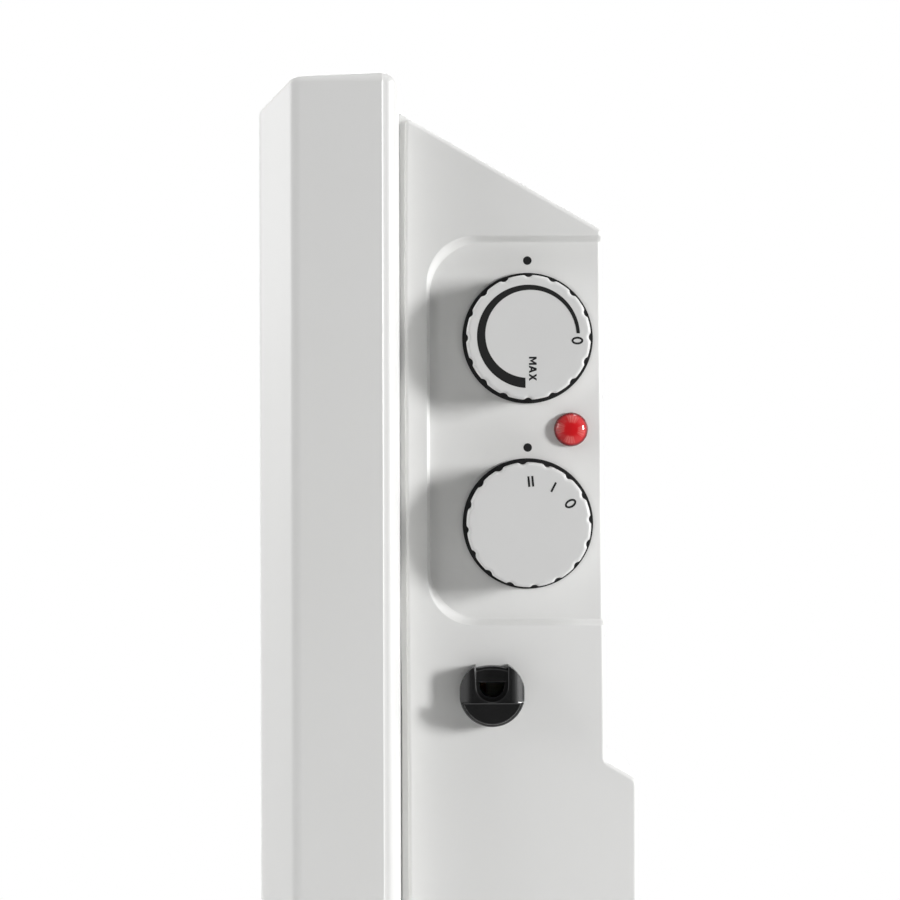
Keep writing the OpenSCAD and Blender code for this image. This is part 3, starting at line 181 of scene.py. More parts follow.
HANG_X, HANG_HEIGHTS, HANG_LONG, HANG_WIDE = 150, (371, 211), 20, 6
# Depths between which a cut goes right through the back
CUT_FROM, CUT_TO = 40, 52
# Points closer than this, in millimetres, become one
SEAM = 0.002
# Powder coat is polyester paint melted onto the sheet: an even satin white with a faint
# orange peel, about 2 mm across, and slight changes of gloss over a hand's width.
COAT_WHITE, COAT_SHADE = "#EEEEED", "#E9E9E7"
PEEL, GLOSS_PATCH = 2.2, 90


def outline(corners, steps=10):
    """Points of a closed outline through corners given as x, y and radius."""
    points = []
    for i, (x, y, radius) in enumerate(corners):
        at = Vector((x, y))
        back = (Vector(corners[i - 1][:2]) - at).normalized()
        ahead = (Vector(corners[(i + 1) % len(corners)][:2]) - at).normalized()
        half = math.acos(max(-1, min(1, back.dot(ahead)))) / 2
        centre = at + (back + ahead).normalized() * radius / math.sin(half)
        start = at + back * radius / math.tan(half) - centre
        turn = math.copysign(math.pi - 2 * half, back.y * ahead.x - back.x * ahead.y)
        for k in range(steps + 1):
            a = turn * k / steps
            points.append(centre + Vector((
                start.x * math.cos(a) - start.y * math.sin(a),
                start.x * math.sin(a) + start.y * math.cos(a))))
    return points


def sideways(back, ahead):
    """How a corner moves to its left, for each millimetre that both of its sides move."""
    p, q = Vector((-back.y, back.x)), Vector((-ahead.y, ahead.x))
    return (p + q) / (1 + p.dot(q))


def inset(corners, distance):
    """The same corners moved inwards, with the radii that keep the wall even."""
    moved = []
    for i, (x, y, radius) in enumerate(corners):
        at = Vector((x, y))
        back = (at - Vector(corners[i - 1][:2])).normalized()
        ahead = (Vector(corners[(i + 1) % len(corners)][:2]) - at).normalized()
        turn = back.x * ahead.y - back.y * ahead.x
        at = at + sideways(back, ahead) * distance
        moved.append((at.x, at.y, max(0, radius - math.copysign(distance, turn))))
    return moved


def ribbon(path, thick):
    """Closed outline of a sheet that lies on the left of an open path."""
    points = [Vector(p) for p in path]
    inner = []
    for i, at in enumerate(points):
        back = (at - points[i - 1]).normalized() if i else (points[1] - at).normalized()
        ahead = (points[i + 1] - at).normalized() if i < len(points) - 1 else back
        inner.append(at + sideways(back, ahead) * thick)
    return points + inner[::-1]


def rect(x0, y0, x1, y1, radius):
    """Corners of an upright rectangle."""
    return [(x0, y0, radius), (x1, y0, radius), (x1, y1, radius), (x0, y1, radius)]


def loft(skin, rings, wrap=False):
    """Adds a closed skin through rings of equal length, given in millimetres."""
    rows = [[skin.verts.new(Vector(p) * MM) for p in ring] for ring in rings]
    for low, high in list(zip(rows, rows[1:])) + ([(rows[-1], rows[0])] if wrap else []):
        for k in range(len(low)):
            j = (k + 1) % len(low)
            skin.faces.new((low[k], low[j], high[j], high[k]))
    if not wrap:
        skin.faces.new(rows[0][::-1])
        skin.faces.new(rows[-1])
    return skin


def along_x(points, x):
    """An outline drawn in y and z, set at a place along the heater."""
    return [(x, p[0], p[1]) for p in points]


def along_y(points, y):
    """An outline drawn in x and z, set at a depth."""
    return [(p[0], y, p[1]) for p in points]


def bar(points, x0, x1):
    """A new skin with one outline from one place along the heater to another."""
    return loft(bmesh.new(), [along_x(points, x0), along_x(points, x1)])


def shape_of(name, skin):
    """The mesh of a finished skin, with clean seams and outward faces."""
    bmesh.ops.remove_doubles(skin, verts=skin.verts, dist=SEAM * MM)
    bmesh.ops.recalc_face_normals(skin, faces=skin.faces)
    shape = bpy.data.meshes.new(name)
    skin.to_mesh(shape)
    skin.free()
    return shape


def piece(name, skin, finish, body="casing"):
    """A new piece of the heater that rides on a body."""
    made = bpy.data.objects.new(name, shape_of(name, skin))
    made.data.materials.append(finish)
    bpy.context.scene.collection.objects.link(made)
    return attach(made, body)


def carve(whole, skin, operation="DIFFERENCE"):
    """Cuts another skin out of a piece, or joins it on."""
    tool = bpy.data.objects.new("tool", shape_of("tool", skin))
    bpy.context.scene.collection.objects.link(tool)
    change = whole.modifiers.new("carve", "BOOLEAN")
    change.object, change.operation, change.solver = tool, operation, "EXACT"
    graph = bpy.context.evaluated_depsgraph_get()
    done = bpy.data.meshes.new_from_object(whole.evaluated_get(graph))
    whole.modifiers.clear()
    whole.data = done
    bpy.data.objects.remove(tool)


def soften(whole, angle=30):
    """Smooth shading between the edges that are sharper than an angle."""
    whole.data.shade_smooth()
    whole.data.set_sharp_from_angle(angle=math.radians(angle))
    weigh = whole.modifiers.new("flat_faces_stay_flat", "WEIGHTED_NORMAL")
    weigh.keep_sharp, weigh.weight = True, 100
    return whole


def cut_slot(skin, x, z, wide, high):
    """Adds a round-ended bar that goes through the back."""
    radius = min(wide, high) / 2 * 0.999
    ring = outline(rect(x - wide / 2, z - high / 2, x + wide / 2, z + high / 2, radius))
    loft(skin, [along_y(ring, CUT_FROM), along_y(ring, CUT_TO)])


powder_coat, tree = new_finish("powder_coated_steel")
place = add(tree, "TexCoord").outputs["Object"]
patches = add(tree, "TexNoise", {"Vector": place, "Scale": 1 / (GLOSS_PATCH * MM), "Detail": 2})
peel = add(tree, "TexNoise", {"Vector": place, "Scale": 1 / (PEEL * MM), "Detail": 1})
tone = add(tree, "Mix", {0: patches, 6: linear(COAT_WHITE), 7: linear(COAT_SHADE)}, data_type="RGBA")
gloss = add(tree, "MapRange", {0: patches, 3: 0.30, 4: 0.38})
bump = add(tree, "Bump", {"Strength": 0.035, "Distance": 0.05 * MM, "Height": peel})
coat = add(tree, "BsdfPrincipled", {
    "Base Color": tone.outputs[2], "Roughness": gloss, "IOR": 1.5, "Normal": bump})
add(tree, "OutputMaterial", {"Surface": coat})

casing_corners = [
    (CASING_FRONT, CASING_FLOOR, 2), (BACK_FLOOR, CASING_FLOOR, 3),
    (*BACK_TOP, 1.8), (CASING_FRONT, CASING_TOP, 0.4)]
turns = outline(casing_corners, 8)
# From the floor's edge round the second and third corner, then over the groove
fold = [(BASE_EDGE, CASING_FLOOR)] + turns[9:27] + [
    (CASING_FRONT + 0.3, CASING_TOP - 0.17), (GROOVE_BACK + 0.25, COLLAR_TOP - 0.2),
    (GROOVE_BACK, COLLAR_TOP - 0.5), (GROOVE_BACK, GROOVE_TOP), (GROOVE_FRONT, GROOVE_TOP)]
rear_panel = piece(
    "rear_panel_sheet", bar(ribbon(fold, SHEET), -REAR_END, REAR_END), powder_coat)


def back_at(z):
    """Depth of the back's face, which leans out a little towards the floor."""
    lean = (BACK_FLOOR - BACK_TOP[0]) / (BACK_TOP[1] - CASING_FLOOR)
    return BACK_TOP[0] + lean * (BACK_TOP[1] - z)


for z in BEAD_HEIGHTS:
    bead = rect(-BEAD_HALF, z - BEAD_WIDE / 2, BEAD_HALF, z + BEAD_WIDE / 2, BEAD_BEND)
    rings = [along_y(outline(bead), back_at(z) - 0.5)]
    for k in range(9):
        rise = (BEAD_PROUD + BEAD_ROOT) * (1 - math.cos(math.pi * k / 8)) / 2 - BEAD_ROOT
        rings.append(along_y(outline(inset(bead, BEAD_SLOPE * k / 8)), back_at(z) + rise))
    carve(rear_panel, loft(bmesh.new(), rings), "UNION")
slots = bmesh.new()
for i in range(SLOTS):
    x = (i - (SLOTS - 1) / 2) * SLOT_PITCH
    cut_slot(slots, x, (SLOT_LOW + SLOT_HIGH) / 2, SLOT_WIDE, SLOT_HIGH - SLOT_LOW)
for x in (-HANG_X, HANG_X):
    for z in HANG_HEIGHTS:
        cut_slot(slots, x, z, HANG_LONG, HANG_WIDE)
carve(rear_panel, slots)
soften(rear_panel)
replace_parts(rear_panel, "rear_panel")


def dress(finish, slot_name, *nodes):
    """Gives CAD nodes that are shown as they are their finish."""
    for node in nodes:
        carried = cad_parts[node]
        if not carried.material_slots:
            carried.data.materials.append(finish)
        for place_for in carried.material_slots:
            place_for.link = "OBJECT"
            place_for.material = finish


# Base grille
# A flat strip of the same coated steel, slotted for the cold air and screwed under the
# brackets. It closes the underside between the end caps.
dress(powder_coat, "enamelled_steel", "base_grille")

# End caps
# Two ABS mouldings that close the ends. The collar and groove meet the front panel, and the
# lower back stands out as a spacer. The right one has the control recess, which falls away
# from the flat side in a soft step.
CAP_START, CASING_SIDE, SIDE_ROUND = 255, 308, 1.3
SHOULDER = (46.0, 250, 2)
STANDOFF_TOP = 244.69
# The panel sits tight on the collar above the controls and stands off a little lower down
COLLAR_SIDE, COLLAR_BACK, COLLAR_EDGE = 306.4, -8.8, 0.15
GROOVE_TIGHT, GROOVE_SIDE = -14.15, 305
# A lip goes into the rear panel's folded end
LIP_START, LIP_PLAY, LIP_THICK = 247, 0.1, 2
RECESS_FLOOR, CAP_WALL = 305, 2.5
# The recess's outline on its floor and on the side: front, lower and upper edge, corner radius
FLOOR_FRONT, FLOOR_LOW, FLOOR_HIGH, FLOOR_BEND = -5.4, 291.6, 402.2, 15.4
RECESS_FRONT, RECESS_LOW, RECESS_HIGH, RECESS_BEND = -6.3, 289.8, 404.2, 14.1
# It runs out through the rear edge
RECESS_REAR = 85
# Where the thermostat, the switch, the lamp and the strain relief pass through, and how wide
CAP_HOLES = ((23.3, 374.1, 5), (23.3, 319.7, 5), (36.0, 347.3, 3.9), (12.6, 270.2, 7.1))
# Moulded ABS: white right through, satin from a fine spark-eroded mould. The real grain is
# 0.1 mm; it is drawn at 0.5 mm so that it shows at all. The melt's flow shifts the tone a
# little over some centimetres.
ABS_WHITE, ABS_SHADE = "#F0F0EF", "#EAEAE8"
SPARK_GRAIN, CAP_FLOW = 0.5, 70


def spark_moulded(name, light, shade, flow_size, smooth, rough):
    """ABS from a spark-eroded mould, between two tones and two roughnesses."""
    finish, tree = new_finish(name)
    place = add(tree, "TexCoord").outputs["Object"]
    flow = add(tree, "TexNoise", {"Vector": place, "Scale": 1 / (flow_size * MM), "Detail": 2})
    grain = add(tree, "TexNoise", {"Vector": place, "Scale": 1 / (SPARK_GRAIN * MM), "Detail": 2})
    tone = add(tree, "Mix", {0: flow, 6: linear(light), 7: linear(shade)}, data_type="RGBA")
    gloss = add(tree, "MapRange", {0: grain, 3: smooth, 4: rough})
    bump = add(tree, "Bump", {"Strength": 0.05, "Distance": 0.02 * MM, "Height": grain})
    plastic = add(tree, "BsdfPrincipled", {
        "Base Color": tone.outputs[2], "Roughness": gloss, "IOR": 1.53, "Normal": bump})
    add(tree, "OutputMaterial", {"Surface": plastic})
    return finish


def along_z(points, z):
    """An outline drawn in x and y, set at a height."""
    return [(p[0], p[1], z) for p in points]


def circle(middle, radius, count):
    """Points evenly round a circle."""
    turns = [math.tau * k / count for k in range(count)]
    return [(middle[0] + radius * math.cos(a), middle[1] + radius * math.sin(a)) for a in turns]


def quarter(steps):
    """How far inside and how far below its two faces a round edge of radius 1 passes."""
    turns = [math.pi / 2 * k / steps for k in range(steps + 1)]
    return [(1 - math.cos(a), 1 - math.sin(a)) for a in turns]


def recess_at(t):
    """Corners of the recess part of the way up its step, and how far up the side that is."""
    front = FLOOR_FRONT + (RECESS_FRONT - FLOOR_FRONT) * t
    low = FLOOR_LOW + (RECESS_LOW - FLOOR_LOW) * t
    high = FLOOR_HIGH + (RECESS_HIGH - FLOOR_HIGH) * t
    bend = FLOOR_BEND + (RECESS_BEND - FLOOR_BEND) * t
    rise = RECESS_FLOOR + (CASING_SIDE - RECESS_FLOOR) * (t - math.sin(math.tau * t) / 14)
    return rect(front, low, RECESS_REAR, high, bend), rise


moulded_abs = spark_moulded("moulded_white_abs", ABS_WHITE, ABS_SHADE, CAP_FLOW, 0.36, 0.46)

# The front edge bows a little: 2 mm behind the collar at the floor, 1.2 mm above the controls
cap_corners = [
    (-11.0, CASING_FLOOR, 2), (OVERALL_DEPTH / 2, CASING_FLOOR, 3),
    (OVERALL_DEPTH / 2, STANDOFF_TOP, 3), SHOULDER, (*BACK_TOP, 0.9),
    (-12.5, CASING_TOP + 0.4, 1.2), (-12.9, 392, 40), (-12.5, 315, 200)]
collar_corners = [
    (GROOVE_BACK, CASING_FLOOR + 0.8, 0.6), (COLLAR_BACK, CASING_FLOOR + 0.8, 0.6),
    (COLLAR_BACK, 436.6, 0.6), (-11.5, 438.25, 0.6), (GROOVE_TIGHT, COLLAR_TOP, 0.15),
    (GROOVE_TIGHT, 292, 5), (-13.75, 268, 5)]
groove = outline(rect(GROOVE_FRONT, 53, -10, GROOVE_TOP, 0), 1)
lip = outline(inset(casing_corners, SHEET + LIP_PLAY), 6)
hollow = outline(inset(casing_corners, SHEET + LIP_PLAY + LIP_THICK), 6)
front_hollow = outline(rect(-20, 55.5, -4, 426, 0), 1)

for side, name in ((1, "right_end_cap"), (-1, "left_end_cap")):
    rings = [along_x(outline(cap_corners), side * CAP_START)]
    for inwards, below in quarter(8):
        ring = outline(inset(cap_corners, SIDE_ROUND * inwards))
        rings.append(along_x(ring, side * (CASING_SIDE - SIDE_ROUND * below)))
    cap = piece(name + "_moulding", loft(bmesh.new(), rings), moulded_abs)
    rings = [along_x(outline(collar_corners, 3), side * CAP_START)]
    for inwards, below in quarter(4):
        ring = outline(inset(collar_corners, COLLAR_EDGE * inwards), 3)
        rings.append(along_x(ring, side * (COLLAR_SIDE - COLLAR_EDGE * below)))
    carve(cap, loft(bmesh.new(), rings), "UNION")
    carve(cap, bar(groove, side * CAP_START, side * GROOVE_SIDE), "UNION")
    carve(cap, bar(lip, side * LIP_START, side * (CAP_START + 1)), "UNION")
    inside = RECESS_FLOOR - CAP_WALL
    carve(cap, bar(hollow, side * (LIP_START - 1), side * inside))
    carve(cap, bar(front_hollow, side * (LIP_START - 2), side * (inside - 0.1)))
    if side == 1:
        rings = []
        for k in range(13):
            corners, rise = recess_at(k / 12)
            rings.append(along_x(outline(corners, 16), rise + 0.02 * k / 12))
        rings.append(along_x(outline(corners, 16), CASING_SIDE + 2))
        carve(cap, loft(bmesh.new(), rings))
        # The side's rounded rear edge runs on along the recess, down its step and up again
        steps = [recess_at(k / 8) for k in range(9)]
        heights = [(RECESS_LOW - 6, CASING_SIDE)]
        heights += [(corners[0][1], rise) for corners, rise in reversed(steps)]
        heights += [(corners[2][1], rise) for corners, rise in steps]
        lean = (SHOULDER[0] - BACK_TOP[0]) / (BACK_TOP[1] - SHOULDER[1])
        rings = []
        for z, top in heights:
            back = BACK_TOP[0] + lean * (BACK_TOP[1] - z)
            ring = [(top - SIDE_ROUND, back + 2)]
            ring += [(top - SIDE_ROUND * below, back - SIDE_ROUND * inwards)
                     for inwards, below in quarter(8)]
            ring += [(top + 2, back - SIDE_ROUND), (top + 2, back + 2)]
            rings.append(along_z(ring, z))
        carve(cap, loft(bmesh.new(), rings))
        holes = bmesh.new()
        for y, z, radius in CAP_HOLES:
            ring = circle((y, z), radius, 48)
            loft(holes, [along_x(ring, RECESS_FLOOR - 5), along_x(ring, CASING_SIDE + 1)])
        carve(cap, holes)
    soften(cap, angle=28)
    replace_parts(cap, name)

# Brackets, shields and the control plate
# Folded from galvanised sheet: one bracket at each end carries the elements, the shields keep
# the heat off the panel and the back, and a small plate carries the controls.
# Hot-dip zinc shows large flat crystals, about 8 mm across, of slightly different grey.
ZINC_LIGHT, ZINC_DARK = "#C9CCCE", "#A3A7AA"
SPANGLE = 8

galvanised, tree = new_finish("galvanised_sheet_steel")
place = add(tree, "TexCoord").outputs["Object"]
crystals = add(tree, "TexVoronoi", {"Vector": place, "Scale": 1 / (SPANGLE * MM)}).outputs["Color"]
tone = add(tree, "Mix", {0: crystals, 6: linear(ZINC_LIGHT), 7: linear(ZINC_DARK)}, data_type="RGBA")
gloss = add(tree, "MapRange", {0: crystals, 3: 0.32, 4: 0.55})
zinc = add(tree, "BsdfPrincipled", {"Base Color": tone.outputs[2], "Roughness": gloss, "Metallic": 1})
add(tree, "OutputMaterial", {"Surface": zinc})
dress(
    galvanised, "zinc_steel", "right_bracket", "left_bracket", "front_shield", "rear_shield",
    "control_plate", "bulb_clips", "lamp_clip")

# Heating elements
# Die-cast aluminium fins in an X round a steel-sheathed rod, slit every 20 mm so that they can
# grow when hot. Cast metal has a dull, finely pitted skin.
CAST_GREY, CAST_DARK = "#B9BBBD", "#8F9295"
CAST_PIT = 1.2


def mottled(name, light, shade, size, detail, surface, gloss=None, bump=None):
    """A finish that drifts between two tones over patches of a size in millimetres. Its gloss
    may drift with them between two roughnesses, and its face rise by a strength and height."""
    finish, tree = new_finish(name)
    place = add(tree, "TexCoord").outputs["Object"]
    patches = add(tree, "TexNoise", {"Vector": place, "Scale": 1 / (size * MM), "Detail": detail})
    tone = add(tree, "Mix", {0: patches, 6: linear(light), 7: linear(shade)}, data_type="RGBA")
    sockets = {"Base Color": tone.outputs[2], **surface}
    if gloss:
        sockets["Roughness"] = add(tree, "MapRange", {0: patches, 3: gloss[0], 4: gloss[1]})
    if bump:
        sockets["Normal"] = add(
            tree, "Bump", {"Strength": bump[0], "Distance": bump[1] * MM, "Height": patches})
    add(tree, "OutputMaterial", {"Surface": add(tree, "BsdfPrincipled", sockets)})
    return finish


cast_aluminium = mottled(
    "die_cast_aluminium", CAST_GREY, CAST_DARK, CAST_PIT, 3, {"Roughness": 0.52, "Metallic": 1},
    bump=(0.3, 0.05))
dress(cast_aluminium, "cast_fins", "element_fins_front", "element_fins_rear")

# Heater rods and control shafts
# Drawn steel, straw-coloured by heat on the rods. Drawing leaves fine lines along the metal,
# drawn here 0.4 mm apart and 20 mm long.
STEEL_LIGHT, STEEL_STRAW = "#BDBAB4", "#9C9384"
LINE_LONG, LINE_WIDE = 20, 0.4

drawn_steel, tree = new_finish("drawn_steel")
place = add(tree, "TexCoord").outputs["Object"]
stretched = add(tree, "Mapping", {
    "Vector": place, "Scale": (1 / (LINE_LONG * MM), 1 / (LINE_WIDE * MM), 1 / (LINE_WIDE * MM))})
lines = add(tree, "TexNoise", {"Vector": stretched, "Scale": 1, "Detail": 2})
tone = add(tree, "Mix", {0: lines, 6: linear(STEEL_LIGHT), 7: linear(STEEL_STRAW)}, data_type="RGBA")
metal = add(tree, "BsdfPrincipled", {"Base Color": tone.outputs[2], "Roughness": 0.34, "Metallic": 1})
add(tree, "OutputMaterial", {"Surface": metal})
dress(drawn_steel, "element_steel", "heater_rods")
dress(drawn_steel, "shaft_steel", "thermostat_shaft", "switch_shaft")

# Rod insulators
# Glazed ceramic bushes between the hot rods and the brackets: ivory, glossy, with fine specks.
CERAMIC, CERAMIC_SPECK, SPECK = "#EFE8D8", "#D9CFB9", 0.8
glazed_ceramic = mottled(
    "glazed_ceramic", CERAMIC, CERAMIC_SPECK, SPECK, 4, {"Roughness": 0.15, "IOR": 1.6})
dress(glazed_ceramic, "ceramic", "rod_insulators")

# Thermal cut-out, thermostat and switch bodies
# Compression-moulded phenolic in black: matt, with a faint brown cloud in the resin.
PHENOLIC, PHENOLIC_CLOUD, RESIN_CLOUD = "#151414", "#221D1A", 4
phenolic = mottled(
    "moulded_black_phenolic", PHENOLIC, PHENOLIC_CLOUD, RESIN_CLOUD, 3,
    {"Roughness": 0.5, "IOR": 1.6})
dress(phenolic, "black_nylon", "thermal_cutout", "thermostat_body", "switch_body")

# Terminal block
# Translucent white polyamide round brass poles, moulded in one strip.
BLOCK_WHITE, BLOCK_SHADE, BLOCK_CLOUD = "#E9E6DC", "#DDD8CB", 6
polyamide = mottled(
    "moulded_polyamide", BLOCK_WHITE, BLOCK_SHADE, BLOCK_CLOUD, 2, {"Roughness": 0.4, "IOR": 1.53})
dress(polyamide, "terminal_polymer", "terminal_block")

# Sensing bulb
# A copper bulb over the inlet, with a fine copper tube up to the thermostat. Handling leaves
# brown tarnish in patches of a few millimetres.
COPPER, COPPER_TARNISH, TARNISH_PATCH = "#C88A62", "#8E5A3C", 5
tarnished_copper = mottled(
    "tarnished_copper", COPPER, COPPER_TARNISH, TARNISH_PATCH, 4, {"Metallic": 1}, gloss=(0.2, 0.5))
dress(tarnished_copper, "bulb_copper", "thermostat_bulb")

# Inside leads
# Stranded copper in extruded silicone rubber, brown for the supply and red to the elements.
# Extrusion leaves a slight flow in the colour along the lead.
LEAD_BROWN, LEAD_BROWN_SHADE = "#5B3520", "#4A2A19"
LEAD_RED, LEAD_RED_SHADE = "#A3261F", "#8A1D18"
LEAD_FLOW = 6
silicone = {"Roughness": 0.45, "IOR": 1.43}
brown_lead = mottled("brown_silicone_lead", LEAD_BROWN, LEAD_BROWN_SHADE, LEAD_FLOW, 2, silicone)
red_lead = mottled("red_silicone_lead", LEAD_RED, LEAD_RED_SHADE, LEAD_FLOW, 2, silicone)
dress(brown_lead, "lead_brown", "supply_leads")
dress(red_lead, "lead_red", "element_leads")

# Indicator lamp
# A domed lens of red polycarbonate with a neon bulb behind it. The dome is clear and glossy. Its red
# colour carries painted shade at its rim and four streaked lobes of painted pink glint.
LENS_RED, LENS_RIM_PAINTED_SHADE, LENS_PAINTED_GLINT = "#D4181F", "#7A0614", "#F0807A"
LENS_RISE, LENS_RIM, LENS_NECK = 3.2, 0.5, 3.8
LENS_AT = (36.0, 347.3)
# The four lobes of painted glint in a ring, each streaked, and the painted rim shade, with their soft
# edges in millimetres from the middle
GLINT_LOBES, GLINT_LOBE_TURN, GLINT_STREAKS, GLINT = 4, 0.6, 28, 0.5
GLINT_FROM, GLINT_TO, RIM_SHADE = (1.7, 2.4), (4.3, 3.8), (4.1, 4.7)
NEON_GLASS, NEON_GLOW, NEON_HAZE = "#E9D9CC", "#E8A070", 3

red_lens, tree = new_finish("red_polycarbonate")
place = add(tree, "TexCoord").outputs["Object"]
lens_place = (0, LENS_AT[0] * MM, LENS_AT[1] * MM)
centred = add(tree, "VectorMath", {0: place, 1: lens_place}, operation="SUBTRACT")
flat = add(tree, "VectorMath", {0: centred, 1: (0, 1 / MM, 1 / MM)}, operation="MULTIPLY")
out = add(tree, "VectorMath", {0: flat}, operation="LENGTH").outputs["Value"]
sides = add(tree, "SeparateXYZ", {0: flat}).outputs
round_at = add(tree, "Math", {0: sides["Z"], 1: sides["Y"]}, operation="ARCTAN2")
# Painted glint: four lobes round the middle, each cut into streaks
lobes = add(tree, "Math", {0: round_at, 1: GLINT_LOBES, 2: GLINT_LOBE_TURN}, operation="MULTIPLY_ADD")
lobes = add(tree, "Math", {0: lobes}, operation="COSINE")
lobes = add(tree, "MapRange", {0: lobes, 1: -0.45, 2: 0.1}, interpolation_type="SMOOTHSTEP")
streaks = add(tree, "Math", {0: round_at, 1: GLINT_STREAKS}, operation="MULTIPLY")
streaks = add(tree, "Math", {0: streaks}, operation="SINE")
streaks = add(tree, "MapRange", {0: streaks, 1: -1, 2: 1, 3: 0.35, 4: 1})
near, far, rim = [
    add(tree, "MapRange", {0: out, 1: first, 2: last}, interpolation_type="SMOOTHSTEP")
    for first, last in (GLINT_FROM, GLINT_TO, RIM_SHADE)]
glint = near
for factor in (far, lobes, streaks, GLINT):
    glint = add(tree, "Math", {0: glint, 1: factor}, operation="MULTIPLY")
# Painted shade darkens the rim, then the painted pink glint goes over the red
tone = add(tree, "Mix", {0: rim, 6: linear(LENS_RED), 7: linear(LENS_RIM_PAINTED_SHADE)}, data_type="RGBA")
tone = add(tree, "Mix", {0: glint, 6: tone.outputs[2], 7: linear(LENS_PAINTED_GLINT)}, data_type="RGBA")
lens_glass = add(tree, "BsdfPrincipled", {
    "Base Color": tone.outputs[2], "Roughness": 0.06, "IOR": 1.585})
add(tree, "OutputMaterial", {"Surface": lens_glass})


def spun(profile, middle, around=64):
    """A new skin turned about an axis along x, from radii and places along it."""
    return loft(bmesh.new(), [along_x(circle(middle, radius, around), x) for radius, x in profile])


def middle_of(node):
    """Centre of a CAD node, in millimetres, seen along the heater."""
    low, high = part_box(node)
    return ((low.y + high.y) / 2 / MM, (low.z + high.z) / 2 / MM)


low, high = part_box("lamp_lens")
lens_radius = (high.z - low.z) / 2 / MM
rim_top = RECESS_FLOOR + LENS_RIM
profile = [
    (LENS_NECK, low.x / MM), (LENS_NECK, RECESS_FLOOR + 0.01),
    (lens_radius, RECESS_FLOOR + 0.01), (lens_radius, rim_top)]
for k in range(1, 13):
    a = math.pi / 2 * k / 13
    profile.append((lens_radius * math.cos(a), rim_top + (LENS_RISE - LENS_RIM) * math.sin(a)))
profile.append((0.2, high.x / MM))
lens = piece("lamp_lens_dome", spun(profile, middle_of("lamp_lens")), red_lens)
soften(lens, angle=40)
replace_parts(lens, "lamp_lens")
neon = mottled(
    "neon_bulb_glass", NEON_GLASS, NEON_GLOW, NEON_HAZE, 1,
    {"Roughness": 0.05, "IOR": 1.5, "Transmission Weight": 0.6})
dress(neon, "lamp_glass", "lamp_bulb")

# Knobs and their collars
# Each knob is a hollow ABS cap with sixteen finger notches that pushes onto a flat shaft. A
# black ring of glass-filled nylon, with a soft gloss, lies under it.
KNOB_FOOT, KNOB_FACE, KNOB_RADIUS = 306.1, 319.6, 18.05
KNOB_EDGE, FOOT_BEVEL, KNOB_WALL = 1.0, 0.25, 2.0
SOCKET_RADIUS, SOCKET_ROOF, HUB_RADIUS = 3.05, 4, 5
NOTCHES, NOTCH_RADIUS, NOTCH_DEEP = 16, 1.5, 0.6
# Where a notch meets the round, the edge between them is eased over a width, by a depth
EASE_WIDE, EASE_DEEP = 0.3, 0.075
# Degrees from the middle of a notch at which points lie, closer where it curves
NOTCH_STEPS = (0, 0.5, 1.0, 1.5, 2.0, 2.4, 2.8, 3.2, 3.7, 4.4, 5.6, 7.4, 9.3)
UPRIGHT = 90
SWITCH_LEAN = 5
KNOB_GREY, KNOB_SHADE, KNOB_FLOW = "#E6E6E5", "#DFDFDE", 25
NYLON, NYLON_SHADE, NYLON_CLOUD = "#121212", "#1B1B1C", 3

knob_abs = spark_moulded("moulded_grey_white_abs", KNOB_GREY, KNOB_SHADE, KNOB_FLOW, 0.32, 0.42)
black_nylon = mottled(
    "moulded_black_nylon", NYLON, NYLON_SHADE, NYLON_CLOUD, 2, {"Roughness": 0.3, "IOR": 1.53})
dress(black_nylon, "collar_black", "thermostat_collar", "switch_collar")

notch_turn = 360 / NOTCHES
offsets = [-a for a in reversed(NOTCH_STEPS[1:])] + list(NOTCH_STEPS) + [notch_turn / 2]
angles = [math.radians(i * notch_turn + a) for i in range(NOTCHES) for a in offsets]


def notched(inset_by, lean):
    """Radius and angle of each point round a knob, at a distance inside its surface."""
    points = []
    half_turn = math.radians(notch_turn / 2)
    for a in angles:
        off = (a + half_turn) % math.radians(notch_turn) - half_turn
        plain = KNOB_RADIUS - inset_by
        centre = KNOB_RADIUS + NOTCH_RADIUS - NOTCH_DEEP
        reach = (NOTCH_RADIUS + inset_by) ** 2 - (centre * math.sin(off)) ** 2
        inner = centre * math.cos(off) - math.sqrt(reach) if reach > 0 else plain + 1
        blend = max(0, EASE_WIDE - abs(plain - inner)) / EASE_WIDE
        points.append((
            min(plain, inner) - blend * blend * EASE_DEEP, a + math.radians(UPRIGHT + lean)))
    return points


def knob(name, node, lean, body):
    """A hollow knob with finger notches, rounded at its face."""
    y, z = middle_of(node)
    bore, high = KNOB_RADIUS - KNOB_WALL, KNOB_FACE - KNOB_FOOT
    inside = [
        (SOCKET_RADIUS, high - SOCKET_ROOF), (SOCKET_RADIUS, 1), (HUB_RADIUS, 1),
        (HUB_RADIUS, high - KNOB_WALL), (bore, high - KNOB_WALL), (bore, 0)]
    shell = [(FOOT_BEVEL, 0), (0, FOOT_BEVEL)]
    shell += [(KNOB_EDGE * inwards, high - KNOB_EDGE * below) for inwards, below in quarter(8)]
    shell.append((KNOB_EDGE + 0.4, high))
    turned = [a + math.radians(UPRIGHT + lean) for a in angles]
    rounds = [([(radius, a) for a in turned], rise) for radius, rise in inside]
    rounds += [(notched(inset_by, lean), rise) for inset_by, rise in shell]
    rings = [
        [(KNOB_FOOT + rise, y + r * math.cos(a), z + r * math.sin(a)) for r, a in points]
        for points, rise in rounds]
    made = piece(name, loft(bmesh.new(), rings), knob_abs, body)
    soften(made, angle=50)
    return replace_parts(made, node)


knob("thermostat_dial_cap", "thermostat_knob", 0, "thermostat_dial")
knob("switch_dial_cap", "switch_knob", SWITCH_LEAN, "switch_dial")

# Printed marks
# Black ink pad printed on the knobs and the recess, 0.04 mm thick: a tapering arc with 0 and
# MAX on the thermostat, 0, I and II on the switch, and a dot over each.
INK, INK_THIN, INK_CLOUD = "#0C0C0D", "#141415", 0.6
INK_THICK, INK_ROOT = 0.04, 0.02
